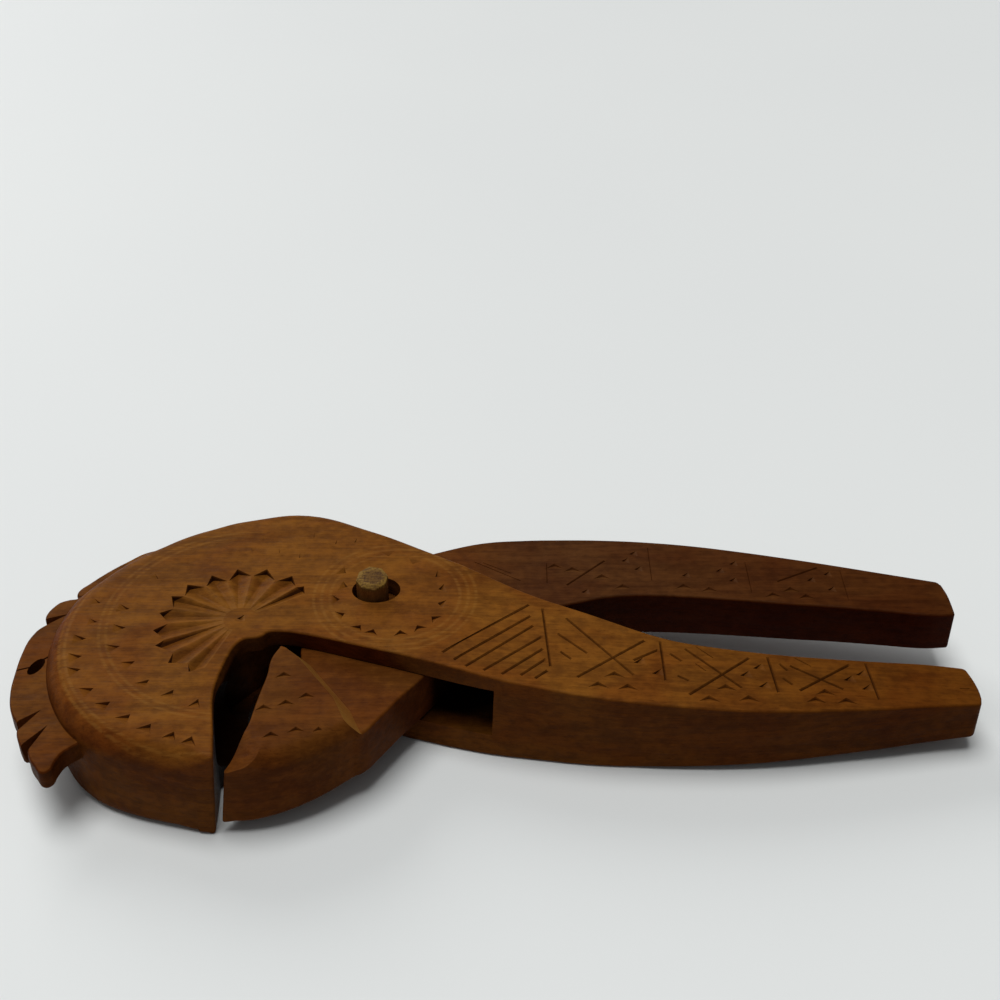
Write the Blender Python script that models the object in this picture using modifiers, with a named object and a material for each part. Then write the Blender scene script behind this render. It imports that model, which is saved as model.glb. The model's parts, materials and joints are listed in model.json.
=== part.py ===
"""Carved wooden lever nutcracker with an animal-head lever, a jaw lever that passes through it, and a peg.

The head lever is one plank: a round head with a scalloped crest, a neck with a slot cut through it from
front to back, and the front handle. The jaw lever is a second plank: the lower jaw, a flat tongue that lies
in the slot, and the rear handle. A whittled peg goes down through the neck and the tongue, and the jaw lever
turns on it. Plan coordinates are measured from the peg's axis: +X runs along the handles, +Y to the back.
"""

import math

import bmesh
import bpy
from mathutils import Matrix, Vector

MM = 0.001

# Heights, from the table up
BODY_THICKNESS = 22.4 * MM
LOWER_CHEEK = 6.0 * MM
SLOT_HEIGHT = 12.3 * MM
JAW_BELOW_TONGUE = 3.2 * MM
JAW_ABOVE_TONGUE = 3.2 * MM
FIT = 0.3 * MM

# Head and jaw, which share one round rim; the rim's rounding fades out between two x values
HEAD_RADIUS = 38.5 * MM
HEAD_X = -28.1 * MM
HEAD_Y = -12.8 * MM
RIM_ROUND = 2.6 * MM
EDGE_ROUND = 1.1 * MM
CORNER_ROUND = 1.6 * MM
CORNER_FADE = 0.3
RIM_FADE_START_X = -10.0 * MM
RIM_FADE_END_X = 10.0 * MM

# Mouth: the head's side of it, and the jaw's side
LIP_X = -28.1 * MM
LIP_GAP = 1.9 * MM
MOUTH_TOP_Y = -15.6 * MM
MOUTH_TOP_WIDTH = 2.0 * MM
MOUTH_BULGE = 2.6 * MM
MOUTH_LEAN = 2.0 * MM
CHAMBER_WIDTH = 9.2 * MM
JAW_POINT_DROP = 1.6 * MM
JAW_POINT_LEAN = 2.4 * MM
HOLLOW_RADIUS = 12.0 * MM
HOLLOW_DEPTH = 3.2 * MM

# Neck: its front edge from the mouth to the handle, and its back edge from the handle to the nape
NECK_FRONT = ((-20.1 * MM, -14.0 * MM), (-8.1 * MM, -16.2 * MM), (7.9 * MM, -21.0 * MM))
NECK_BACK = (
    (12.9 * MM, 13.6 * MM),
    (-2.0 * MM, 22.6 * MM),
    (-17.0 * MM, 29.2 * MM),
    (-31.0 * MM, 27.0 * MM),
)

# How far the neck's front wall stands out at its foot: x from the peg, and the distance
NECK_LEAN = ((-16.0 * MM, 0.0), (8.0 * MM, 2.9 * MM), (33.0 * MM, 0.9 * MM), (56.0 * MM, 0.0))

# Front handle: reach from the peg, then share of the reach, middle line and width at each station
FRONT_GRIP_REACH = 131.5 * MM
FRONT_GRIP = (
    (0.20, -10.8 * MM, 32.6 * MM),
    (0.29, -16.2 * MM, 28.4 * MM),
    (0.37, -18.9 * MM, 26.2 * MM),
    (0.45, -21.5 * MM, 22.6 * MM),
    (0.53, -23.2 * MM, 20.0 * MM),
    (0.61, -24.0 * MM, 19.0 * MM),
    (0.73, -24.0 * MM, 17.0 * MM),
    (0.85, -23.0 * MM, 14.6 * MM),
    (0.96, -22.0 * MM, 12.4 * MM),
)
FRONT_GRIP_TOP_DROP = 8.6 * MM
FRONT_GRIP_LIFT = 4.0 * MM
TOP_TAPER_START_X = 20.0 * MM
UNDERSIDE_TAPER_START_X = 54.0 * MM
TIP_ROUND = 1.6 * MM

# Rear handle: the same, for the jaw lever
REAR_GRIP_REACH = 129.6 * MM
REAR_GRIP = (
    (0.42, 13.6 * MM, 20.6 * MM),
    (0.50, 13.3 * MM, 19.8 * MM),
    (0.58, 12.0 * MM, 18.8 * MM),
    (0.66, 10.3 * MM, 17.6 * MM),
    (0.74, 8.6 * MM, 16.4 * MM),
    (0.82, 6.8 * MM, 15.2 * MM),
    (0.90, 4.9 * MM, 13.8 * MM),
    (0.97, 3.2 * MM, 12.4 * MM),
)
REAR_GRIP_DROP = 0.6 * MM
REAR_GRIP_LIFT = 0.8 * MM

# Jaw: its shoulder runs from an angle on the rim, in degrees round the head's centre, up to the mouth
JAW_SHOULDER_ANGLE = 315.0
JAW_SHOULDER = ((-6.6 * MM, -29.6 * MM), (-13.0 * MM, -18.8 * MM))
JAW_ROUND = 3.0 * MM
JAW_LEAN = 2.3 * MM
JAW_LIFT = 2.8 * MM
JAW_LIFT_START_X = -22.0 * MM

# Tongue: the straight back edge that stops against the slot when the jaws are open, then its left end
# inside the jaw, then the front edge
TONGUE_BACK = ((24.0 * MM, 22.4 * MM), (13.0 * MM, 18.6 * MM), (-4.0 * MM, 9.6 * MM))
TONGUE_LEFT = ((-12.0 * MM, -1.0 * MM), (-15.0 * MM, -14.0 * MM), (-13.0 * MM, -30.0 * MM))
TONGUE_INSET = 1.0 * MM
TONGUE_FRONT = ((11.2 * MM, -24.6 * MM), (20.0 * MM, -12.4 * MM), (32.0 * MM, -3.8 * MM))

# Slot through the neck: how far the jaw lever opens, in degrees, and the slot's slanting right end
OPEN_ANGLE = 24.0
SLOT_END_X = 26.9 * MM
SLOT_END_BACK_X = 40.0 * MM
SLOT_END_BACK_Y = -5.2 * MM
SLOT_RUN_OUT = 40.0 * MM
SWING_GAP = 0.6 * MM

# Peg and its holes
PEG_RADIUS = 3.5 * MM
PEG_PROUD = 3.9 * MM
PEG_CHAMFER = 0.9 * MM
PEG_SIDES = 8
WORN_HOLE_X = 5.4 * MM
WORN_HOLE_Y = 4.4 * MM
WORN_HOLE_SHIFT = 0.8 * MM

# Crest: lobes as their first and last angle round the head's centre, in degrees
CREST_LOBES = ((128.6, 157.5), (158.6, 170.0), (170.8, 209.2), (210.4, 219.2), (220.4, 227.8))
CREST_REACH = 3.0 * MM
CREST_GROWTH = 10.6 * MM
CREST_NOTCH_SHARE = 0.6
CREST_ROOT = 6.0 * MM
CREST_HIGH = 17.3 * MM
CREST_THICKNESS = 5.0 * MM
CREST_HOLE_ANGLE = 187.5
CREST_HOLE_REACH = 5.8 * MM
CREST_HOLE_WIDTH = 2.6 * MM
CREST_HOLE_LENGTH = 4.6 * MM

# Rosette on the head
ROSETTE_X = -28.1 * MM
ROSETTE_Y = -9.8 * MM
ROSETTE_FLUTES = 12
ROSETTE_FIRST = 40.0
ROSETTE_PITCH = 18.3
ROSETTE_HUB = 3.6 * MM
ROSETTE_WIDEST = 14.4 * MM
ROSETTE_TIP = 17.6 * MM
ROSETTE_DEPTH = 1.5 * MM

# Chip rings on the head and round the peg
RING_CHIP_LENGTH = 2.8 * MM
RING_CHIP_WIDTH = 1.5 * MM
CHIP_DEPTH = 0.7 * MM
INNER_RING_RADIUS = 26.3 * MM
INNER_RING_FIRST = 125.0
OUTER_RING_RADIUS = 36.2 * MM
OUTER_RING_FIRST = 145.0
HEAD_RING_LAST = 257.0
HEAD_RING_SPACING = 5.9 * MM
PEG_RING_X = 5.1 * MM
PEG_RING_Y = -2.0 * MM
PEG_RING_RADIUS = 12.8 * MM
PEG_RING_CHIPS = 15

# Knife grooves on the handles
GROOVE_WIDTH = 0.9 * MM
GROOVE_DEPTH = 0.6 * MM
CROSSING_GROOVE_DEPTH = 0.5 * MM
SLANT_COUNT = 8
SLANT_FOOT = (16.1 * MM, -20.4 * MM)
SLANT_FOOT_STEP = (3.0 * MM, -1.4 * MM)
SLANT_TOP = (35.0 * MM, -4.6 * MM)
SLANT_TOP_STEP = (0.35 * MM, -3.5 * MM)
FIELD_EDGES = (38.5 * MM, 62.9 * MM, 86.7 * MM, 107.6 * MM)
FIELD_MARGIN = 2.4 * MM

# Finish
WOOD_COLOUR = (0.23, 0.085, 0.030, 1.0)
REAR_WOOD_COLOUR = (0.17, 0.055, 0.022, 1.0)
PEG_COLOUR = (0.30, 0.17, 0.07, 1.0)
WAX_ROUGHNESS = 0.42

TONGUE_LOW = LOWER_CHEEK + FIT
TONGUE_HIGH = LOWER_CHEEK + SLOT_HEIGHT - FIT
JAW_LOW = TONGUE_LOW - JAW_BELOW_TONGUE
JAW_HIGH = TONGUE_HIGH + JAW_ABOVE_TONGUE
LIP_Y = HEAD_Y - HEAD_RADIUS
MOUTH_LENGTH = MOUTH_TOP_Y - LIP_Y
MOUTH_MIDDLE_Y = MOUTH_TOP_Y - MOUTH_LENGTH / 2.0
CURVE_STEPS = 3
OVERCUT = 3.0 * MM
SHARP_ANGLE = math.radians(50.0)
RIM_STEPS = 3
BORE_SIDES = 24
LIP_SPAN = 12.0


def turned(point, degrees):
    """Turns a plan point about the peg."""
    angle = math.radians(degrees)
    x, y = point[0], point[1]
    return (x * math.cos(angle) - y * math.sin(angle), x * math.sin(angle) + y * math.cos(angle))


def on_circle(degrees, radius, centre_x=HEAD_X, centre_y=HEAD_Y):
    """A plan point on a circle, by default one round the head's centre."""
    angle = math.radians(degrees)
    return (centre_x + radius * math.cos(angle), centre_y + radius * math.sin(angle))


def rim_angle_at_x(x):
    """The angle at which the front of the head's rim reaches a given x."""
    return 360.0 - math.degrees(math.acos((x - HEAD_X) / HEAD_RADIUS))


def make_collection(name):
    collection = bpy.data.collections.new(name)
    bpy.context.scene.collection.children.link(collection)
    return collection


def make_material(name, colour, roughness):
    material = bpy.data.materials.new(name)
    material.use_nodes = True
    shader = material.node_tree.nodes["Principled BSDF"]
    shader.inputs["Base Color"].default_value = colour
    shader.inputs["Roughness"].default_value = roughness
    shader.inputs["Metallic"].default_value = 0.0
    material.diffuse_color = colour
    return material


def object_from_bmesh(name, bm, collection):
    mesh = bpy.data.meshes.new(name)
    bm.to_mesh(mesh)
    bm.free()
    made = bpy.data.objects.new(name, mesh)
    collection.objects.link(made)
    return made


def slab(name, points, low, high, collection):
    """A flat plank: a closed outline of (x, y, is_corner) points, from one height to another."""
    curve = bpy.data.curves.new(name, "CURVE")
    curve.dimensions = "2D"
    curve.fill_mode = "BOTH"
    curve.extrude = (high - low) / 2.0
    curve.resolution_u = CURVE_STEPS
    spline = curve.splines.new("BEZIER")
    spline.use_cyclic_u = True
    spline.bezier_points.add(len(points) - 1)
    for knot, (x, y, is_corner) in zip(spline.bezier_points, points):
        knot.co = (x, y, 0.0)
        kind = "VECTOR" if is_corner else "AUTO"
        knot.handle_left_type = kind
        knot.handle_right_type = kind
    drawn = bpy.data.objects.new(name + "_outline", curve)
    drawn.location.z = (low + high) / 2.0
    collection.objects.link(drawn)
    return mesh_from_curve(drawn, name, collection)


def mesh_from_curve(drawn, name, collection):
    """Turns a curve object into a closed mesh object and removes the curve."""
    bpy.context.view_layer.update()
    evaluated = drawn.evaluated_get(bpy.context.evaluated_depsgraph_get())
    mesh = bpy.data.meshes.new_from_object(evaluated)
    mesh.transform(drawn.matrix_world)
    bm = bmesh.new()
    bm.from_mesh(mesh)
    bpy.data.meshes.remove(mesh)
    bmesh.ops.remove_doubles(bm, verts=bm.verts, dist=0.001 * MM)
    bmesh.ops.dissolve_limit(bm, angle_limit=math.radians(0.5), verts=bm.verts, edges=bm.edges)
    bmesh.ops.recalc_face_normals(bm, faces=bm.faces)
    bpy.data.objects.remove(drawn)
    return object_from_bmesh(name, bm, collection)


def round_upright_edges(bm):
    """Rounds a plank's sharp upright edges."""
    sharp = []
    for edge in bm.edges:
        is_upright = abs(edge.verts[0].co.z - edge.verts[1].co.z) > edge.calc_length() / 2.0
        if is_upright and edge.calc_face_angle(0.0) > SHARP_ANGLE:
            sharp.append(edge)
    bmesh.ops.bevel(
        bm,
        geom=sharp,
        offset=CORNER_ROUND,
        offset_type="WIDTH",
        segments=2,
        profile=0.5,
        affect="EDGES",
        clamp_overlap=True,
        material=-1,
    )


def round_rim(bm, is_upper, width_at):
    """Rounds the rim of a plank's upper or lower face in steps, by a width that may change along it."""
    sign = 1.0 if is_upper else -1.0
    face = max(bm.faces, key=lambda candidate: sign * candidate.calc_center_median().z)
    rim = [vert.co.copy() for vert in face.verts]
    inward = []
    widths = []
    for number, point in enumerate(rim):
        before = (point - rim[number - 1]).normalized()
        after = (rim[(number + 1) % len(rim)] - point).normalized()
        first = Vector((-before.y, before.x, 0.0)) * sign
        second = Vector((-after.y, after.x, 0.0)) * sign
        inward.append((first + second) / (1.0 + first.dot(second)))
        widths.append(width_at(point.x, point.y))
    for step in range(RIM_STEPS + 1):
        if step > 0:
            face = bmesh.ops.extrude_discrete_faces(bm, faces=[face])["faces"][0]
        angle = math.pi / 2.0 * step / RIM_STEPS
        for vert, point, direction, width in zip(face.verts, rim, inward, widths):
            inset = width * (1.0 - math.cos(angle))
            drop = width * (1.0 - math.sin(angle))
            vert.co = point + direction * inset - Vector((0.0, 0.0, sign * drop))


def make_plank(name, points, low, high, upper_width_at, lower_width_at, collection):
    """A plank with rounded rims and corners."""
    plank = slab(name, points, low, high, collection)
    bm = bmesh.new()
    bm.from_mesh(plank.data)
    round_upright_edges(bm)
    round_rim(bm, True, upper_width_at)
    round_rim(bm, False, lower_width_at)
    bm.to_mesh(plank.data)
    bm.free()
    return plank


def corner_limit(points):
    """The widest rounding that each place on an outline can take, which falls towards its corners."""
    corners = [(x, y) for x, y, is_corner in points if is_corner]

    def limit(x, y):
        nearest = min(math.hypot(x - corner_x, y - corner_y) for corner_x, corner_y in corners)
        return EDGE_ROUND + CORNER_FADE * max(0.0, nearest - CORNER_ROUND)

    return limit


def outer_rim_width(points, rim_width):
    """A rim's rounding: full on the outside of the head and jaw, plain on the mouth and the handle."""
    limit = corner_limit(points)

    def width_at(x, y):
        on_rim = math.hypot(x - HEAD_X, y - HEAD_Y) > HEAD_RADIUS - RIM_ROUND / 2.0
        if y < 0.0 and not on_rim:
            return EDGE_ROUND
        share = min(1.0, taper_share(x, RIM_FADE_START_X, RIM_FADE_END_X))
        return min(limit(x, y), rim_width + (EDGE_ROUND - rim_width) * share)

    return width_at


def plain_width(x, y):
    """The plain rounding of an edge, the same at every place."""
    return EDGE_ROUND


def split_at(piece, x):
    """Adds edges across a plank where its thickness starts to change."""
    bm = bmesh.new()
    bm.from_mesh(piece.data)
    geometry = bm.verts[:] + bm.edges[:] + bm.faces[:]
    bmesh.ops.bisect_plane(bm, geom=geometry, plane_co=(x, 0, 0), plane_no=(1, 0, 0), dist=0.001 * MM)
    bm.to_mesh(piece.data)
    bm.free()


def taper_share(x, start, end):
    """How far along a taper a given x lies, from 0 at its start."""
    return max(0.0, (x - start) / (end - start))


def neck_lean(x):
    """How far the foot of the neck's front wall stands out at a given x."""
    for (first_x, first), (second_x, second) in zip(NECK_LEAN, NECK_LEAN[1:]):
        if first_x <= x <= second_x:
            return first + (second - first) * (x - first_x) / (second_x - first_x)
    return 0.0


def shape_head_plank(lever):
    """Thins the front handle towards its tip, and leans the walls of the neck and the mouth."""
    split_at(lever, TOP_TAPER_START_X)
    split_at(lever, UNDERSIDE_TAPER_START_X)
    for vert in lever.data.vertices:
        x, y, z = vert.co
        if z > BODY_THICKNESS / 2.0:
            vert.co.z -= BODY_THICKNESS - grip_top(x)
            continue
        is_mouth_wall = LIP_X - MOUTH_BULGE - EDGE_ROUND < x < LIP_X + MOUTH_TOP_WIDTH + EDGE_ROUND
        if is_mouth_wall and y < MOUTH_TOP_Y + EDGE_ROUND:
            vert.co.x -= MOUTH_LEAN
            continue
        vert.co.z += FRONT_GRIP_LIFT * taper_share(x, UNDERSIDE_TAPER_START_X, FRONT_GRIP_REACH)
        is_front_wall = y < edge_y(FRONT_GRIP, FRONT_GRIP_REACH, x, 0)
        if is_front_wall or x < FRONT_GRIP[0][0] * FRONT_GRIP_REACH and y < NECK_FRONT[0][1]:
            vert.co.y -= neck_lean(x)


def shape_jaw_plank(lever):
    """Thins the rear handle towards its tip."""
    split_at(lever, rear_grip_start())
    for vert in lever.data.vertices:
        if vert.co.z > (TONGUE_LOW + TONGUE_HIGH) / 2.0:
            vert.co.z -= TONGUE_HIGH - rear_grip_top(vert.co.x)
        else:
            vert.co.z += REAR_GRIP_LIFT * taper_share(vert.co.x, rear_grip_start(), REAR_GRIP_REACH)


def shape_jaw(jaw):
    """Leans the jaw's lip like the mouth, and lifts its underside towards the tongue."""
    lip_end_x = LIP_X - MOUTH_BULGE + CHAMBER_WIDTH + JAW_POINT_LEAN + EDGE_ROUND
    corner_x = on_circle(JAW_SHOULDER_ANGLE, HEAD_RADIUS)[0]
    for vert in jaw.data.vertices:
        if vert.co.z > (JAW_LOW + JAW_HIGH) / 2.0:
            continue
        lean = (lip_end_x - vert.co.x) / (lip_end_x - LIP_X - LIP_GAP)
        vert.co.x -= JAW_LEAN * min(1.0, max(0.0, lean))
        vert.co.z += JAW_LIFT * taper_share(vert.co.x, JAW_LIFT_START_X, corner_x)


def add_facets(piece):
    """Splits a piece's faces into triangles, which stay flat when shapes are cut from it."""
    piece.modifiers.new("facets", "TRIANGULATE")


def add_boolean(piece, other, operation):
    modifier = piece.modifiers.new(other.name, "BOOLEAN")
    modifier.operation = operation
    modifier.solver = "EXACT"
    modifier.object = other
    other.hide_render = True
    other.display_type = "WIRE"


def add_octahedron(bm, length, width, depth, deepest, place):
    """A chip's shape: a diamond on the surface, its deepest point a share of the length along it."""
    made = bmesh.ops.create_uvsphere(bm, u_segments=4, v_segments=2, radius=1.0)
    for vert in made["verts"]:
        is_pole = abs(vert.co.z) > 0.5
        along = vert.co.x if abs(vert.co.x) > 0.5 else 2.0 * deepest - 1.0
        across = 0.0 if is_pole else vert.co.y
        vert.co = Vector((along * length / 2.0, across * width / 2.0, vert.co.z * depth))
    bmesh.ops.transform(bm, matrix=place, verts=made["verts"])


def add_groove(bm, start, end, width, depth):
    """A straight knife groove between two surface points, with a V section."""
    run = Vector(end) - Vector(start)
    made = bmesh.ops.create_cone(
        bm, cap_ends=True, segments=4, radius1=1.0, radius2=1.0, depth=run.length
    )
    for vert in made["verts"]:
        vert.co.x *= depth
        vert.co.y *= width / 2.0
    turn = run.to_track_quat("Z", "X").to_matrix().to_4x4()
    place = Matrix.Translation((Vector(start) + Vector(end)) / 2.0) @ turn
    bmesh.ops.transform(bm, matrix=place, verts=made["verts"])


def grip_top(x):
    """Height of the head lever's upper face at a given x."""
    return BODY_THICKNESS - FRONT_GRIP_TOP_DROP * taper_share(x, TOP_TAPER_START_X, FRONT_GRIP_REACH)


def rear_grip_start():
    return REAR_GRIP[0][0] * REAR_GRIP_REACH


def rear_grip_top(x):
    """Height of the jaw lever's upper face at a given x."""
    return TONGUE_HIGH - REAR_GRIP_DROP * taper_share(x, rear_grip_start(), REAR_GRIP_REACH)


def station_edges(stations, reach, side):
    """The edge points of a handle on one side: +1 for the back edge, -1 for the front edge."""
    return [(share * reach, middle + side * width / 2.0, False) for share, middle, width in stations]


def grip_tip(stations, reach):
    """The blunt end of a handle, from its back corner to its front corner."""
    share, middle, width = stations[-1]
    back = middle + width / 2.0
    front = middle - width / 2.0
    return [
        (reach - TIP_ROUND * 0.5, back - TIP_ROUND, True),
        (reach, (back + front) / 2.0, False),
        (reach - TIP_ROUND * 0.5, front + TIP_ROUND, True),
    ]


def edge_y(stations, reach, x, side):
    """A handle's edge at a given x, read along its stations; side 0 is its middle line."""
    share = x / reach
    for first, second in zip(stations, stations[1:]):
        if share <= second[0]:
            blend = (share - first[0]) / (second[0] - first[0])
            middle = first[1] + (second[1] - first[1]) * blend
            width = first[2] + (second[2] - first[2]) * blend
            return middle + side * width / 2.0
    return stations[-1][1] + side * stations[-1][2] / 2.0


def mouth_edge():
    """The head's side of the mouth, from its inner end to the lip on the rim."""
    return [
        (LIP_X + MOUTH_TOP_WIDTH, MOUTH_TOP_Y, True),
        (LIP_X - MOUTH_BULGE * 0.75, MOUTH_TOP_Y - 0.25 * MOUTH_LENGTH, False),
        (LIP_X - MOUTH_BULGE, MOUTH_TOP_Y - 0.45 * MOUTH_LENGTH, False),
        (LIP_X - MOUTH_BULGE * 0.7, MOUTH_TOP_Y - 0.68 * MOUTH_LENGTH, False),
        (LIP_X, LIP_Y, True),
    ]


def head_outline():
    """The head lever seen from above, anticlockwise from the neck's back edge."""
    points = [(x, y, False) for x, y in NECK_BACK]
    first = 108.0
    last = rim_angle_at_x(LIP_X) - LIP_SPAN
    steps = 9
    for step in range(steps + 1):
        x, y = on_circle(first + (last - first) * step / steps, HEAD_RADIUS)
        points.append((x, y, False))
    points += reversed(mouth_edge())
    points += [(x, y, False) for x, y in NECK_FRONT]
    points += station_edges(FRONT_GRIP, FRONT_GRIP_REACH, -1)
    points += reversed(grip_tip(FRONT_GRIP, FRONT_GRIP_REACH))
    points += reversed(station_edges(FRONT_GRIP, FRONT_GRIP_REACH, 1))
    return points


def slot_outline():
    """The slot seen from above: its left wall is where the tongue's back edge stops when open."""
    upper = Vector(turned(TONGUE_BACK[1], OPEN_ANGLE))
    lower = Vector(turned(TONGUE_BACK[2], OPEN_ANGLE))
    along = (upper - lower).normalized()
    outward = Vector((-along.y, along.x))
    wall_top = upper + along * SLOT_RUN_OUT + outward * SWING_GAP
    wall_bottom = lower - along * SLOT_RUN_OUT + outward * SWING_GAP
    front = Vector((SLOT_END_X, FRONT_GRIP[0][1] - FRONT_GRIP[0][2] / 2.0))
    back = Vector((SLOT_END_BACK_X, SLOT_END_BACK_Y))
    mouth = front - (back - front).normalized() * SLOT_RUN_OUT / 4.0
    return [
        (wall_top.x, wall_top.y, True),
        (wall_bottom.x, wall_bottom.y, True),
        (mouth.x, mouth.y, True),
        (front.x, front.y, True),
        (back.x, back.y, True),
        (back.x + SLOT_RUN_OUT, back.y + SLOT_RUN_OUT / 6.0, True),
        (back.x + SLOT_RUN_OUT, wall_top.y, True),
    ]


def tongue_outline():
    """The tongue and rear handle seen from above, anticlockwise from inside the jaw's rim."""
    points = [(*on_circle(JAW_SHOULDER_ANGLE - 2.0, HEAD_RADIUS - TONGUE_INSET), True)]
    points += [(x, y, False) for x, y in TONGUE_FRONT]
    points += station_edges(REAR_GRIP, REAR_GRIP_REACH, -1)
    points += reversed(grip_tip(REAR_GRIP, REAR_GRIP_REACH))
    points += reversed(station_edges(REAR_GRIP, REAR_GRIP_REACH, 1))
    far, upper, lower = TONGUE_BACK
    points += [(*far, False), (*upper, True), (*lower, True)]
    first, second, third = TONGUE_LEFT
    points += [(*first, False), (*second, True), (*third, True)]
    return points


def jaw_left_edge():
    """The jaw's side of the mouth, from the lip to the point of the jaw."""
    lip_x = LIP_X + LIP_GAP
    inner_x = LIP_X - MOUTH_BULGE + CHAMBER_WIDTH
    return [
        (lip_x, LIP_Y + 0.01 * MOUTH_LENGTH, True),
        (lip_x + (inner_x - lip_x) * 0.47, LIP_Y + 0.20 * MOUTH_LENGTH, False),
        (inner_x, LIP_Y + 0.42 * MOUTH_LENGTH, False),
        (inner_x + JAW_POINT_LEAN * 0.67, LIP_Y + 0.84 * MOUTH_LENGTH, False),
        (inner_x + JAW_POINT_LEAN, MOUTH_TOP_Y - JAW_POINT_DROP, True),
    ]


def jaw_outline():
    """The jaw's thick part seen from above, anticlockwise from its lip along the rim."""
    left = jaw_left_edge()
    first = rim_angle_at_x(LIP_X + LIP_GAP) + LIP_SPAN
    steps = 3
    points = [left[0]]
    for step in range(steps):
        x, y = on_circle(first + (JAW_SHOULDER_ANGLE - first) * step / steps, HEAD_RADIUS)
        points.append((x, y, False))
    points.append((*on_circle(JAW_SHOULDER_ANGLE, HEAD_RADIUS), True))
    lower, upper = JAW_SHOULDER
    points += [(*lower, False), (*upper, True)]
    points += reversed(left[1:])
    return points


def crest_reach(angle):
    """How far the crest stands out from the head at a given angle."""
    first = CREST_LOBES[0][0]
    last = CREST_LOBES[-1][1]
    return CREST_REACH + CREST_GROWTH * (angle - first) / (last - first)


def crest_outline():
    """The crest's scalloped edge, each lobe rising from its notch, closed through the inside of the head."""
    shape = ((0.0, 0.84), (0.14, 1.0), (0.35, 1.04), (0.7, 1.03), (0.88, 0.97), (1.0, 0.86))
    points = []
    for number, (lobe_first, lobe_last) in enumerate(CREST_LOBES):
        if number > 0:
            notch = (CREST_LOBES[number - 1][1] + lobe_first) / 2.0
            x, y = on_circle(notch, HEAD_RADIUS + crest_reach(notch) * CREST_NOTCH_SHARE)
            points.append((x, y, True))
        for share, height in shape:
            angle = lobe_first + (lobe_last - lobe_first) * share
            x, y = on_circle(angle, HEAD_RADIUS + crest_reach(angle) * height)
            points.append((x, y, True))
    first = CREST_LOBES[0][0]
    last = CREST_LOBES[-1][0]
    steps = 6
    for step in range(steps + 1):
        x, y = on_circle(last + (first - last) * step / steps, HEAD_RADIUS - CREST_ROOT)
        points.append((x, y, True))
    return points


def make_bore(name, radius_x, radius_y, place, low, high, collection):
    """An upright round or oval cutter."""
    bm = bmesh.new()
    bmesh.ops.create_cone(
        bm, cap_ends=True, segments=BORE_SIDES, radius1=1.0, radius2=1.0, depth=high - low
    )
    stretch = Matrix.Diagonal((radius_x, radius_y, 1.0, 1.0))
    shift = Matrix.Translation((place[0], place[1], (low + high) / 2.0))
    bmesh.ops.transform(bm, matrix=shift @ stretch, verts=bm.verts)
    return object_from_bmesh(name, bm, collection)


def make_hollow(name, x, y, z, collection):
    """A round hollow for the nut, pressed into one side of the mouth."""
    bm = bmesh.new()
    bmesh.ops.create_uvsphere(bm, u_segments=20, v_segments=10, radius=HOLLOW_RADIUS)
    bmesh.ops.transform(bm, matrix=Matrix.Translation((x, y, z)), verts=bm.verts)
    return object_from_bmesh(name, bm, collection)


def make_rosette(collection):
    """Kite-shaped flutes that fan out from the rosette's hub."""
    bm = bmesh.new()
    length = ROSETTE_TIP - ROSETTE_HUB
    width = 2.0 * ROSETTE_WIDEST * math.tan(math.radians(ROSETTE_PITCH / 2.0)) * 0.93
    for flute in range(ROSETTE_FLUTES):
        angle = math.radians(ROSETTE_FIRST + ROSETTE_PITCH * flute)
        middle = (ROSETTE_HUB + ROSETTE_TIP) / 2.0
        place = Matrix.Translation(
            (
                ROSETTE_X + middle * math.cos(angle),
                ROSETTE_Y + middle * math.sin(angle),
                BODY_THICKNESS + 0.05 * MM,
            )
        )
        share = (ROSETTE_WIDEST - ROSETTE_HUB) / length
        add_octahedron(bm, length, width, ROSETTE_DEPTH, share, place @ Matrix.Rotation(angle, 4, "Z"))
    return object_from_bmesh("rosette_cutter", bm, collection)


def ring_chip(bm, centre, angle, radius):
    """One chip of a ring, its point towards the ring's centre."""
    x = centre[0] + radius * math.cos(angle)
    y = centre[1] + radius * math.sin(angle)
    place = Matrix.Translation((x, y, BODY_THICKNESS + 0.05 * MM)) @ Matrix.Rotation(angle, 4, "Z")
    add_octahedron(bm, RING_CHIP_LENGTH, RING_CHIP_WIDTH, CHIP_DEPTH, 0.3, place)


def make_head_chips(collection):
    """The two chip rings round the head and the ring round the peg."""
    bm = bmesh.new()
    rings = ((INNER_RING_RADIUS, INNER_RING_FIRST), (OUTER_RING_RADIUS, OUTER_RING_FIRST))
    for radius, first in rings:
        span = math.radians(HEAD_RING_LAST - first)
        count = int(span * radius / HEAD_RING_SPACING)
        for chip in range(count + 1):
            ring_chip(bm, (ROSETTE_X, ROSETTE_Y), math.radians(first) + span * chip / count, radius)
    for chip in range(PEG_RING_CHIPS):
        angle = 2.0 * math.pi * chip / PEG_RING_CHIPS
        ring_chip(bm, (PEG_RING_X, PEG_RING_Y), angle, PEG_RING_RADIUS)
    return object_from_bmesh("head_chip_cutter", bm, collection)


def surface_groove(bm, start, end, top, depth=GROOVE_DEPTH):
    """A groove between two plan points on an upper face."""
    lift = 0.05 * MM
    add_groove(
        bm,
        (start[0], start[1], top(start[0]) + lift),
        (end[0], end[1], top(end[0]) + lift),
        GROOVE_WIDTH,
        depth,
    )


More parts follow.
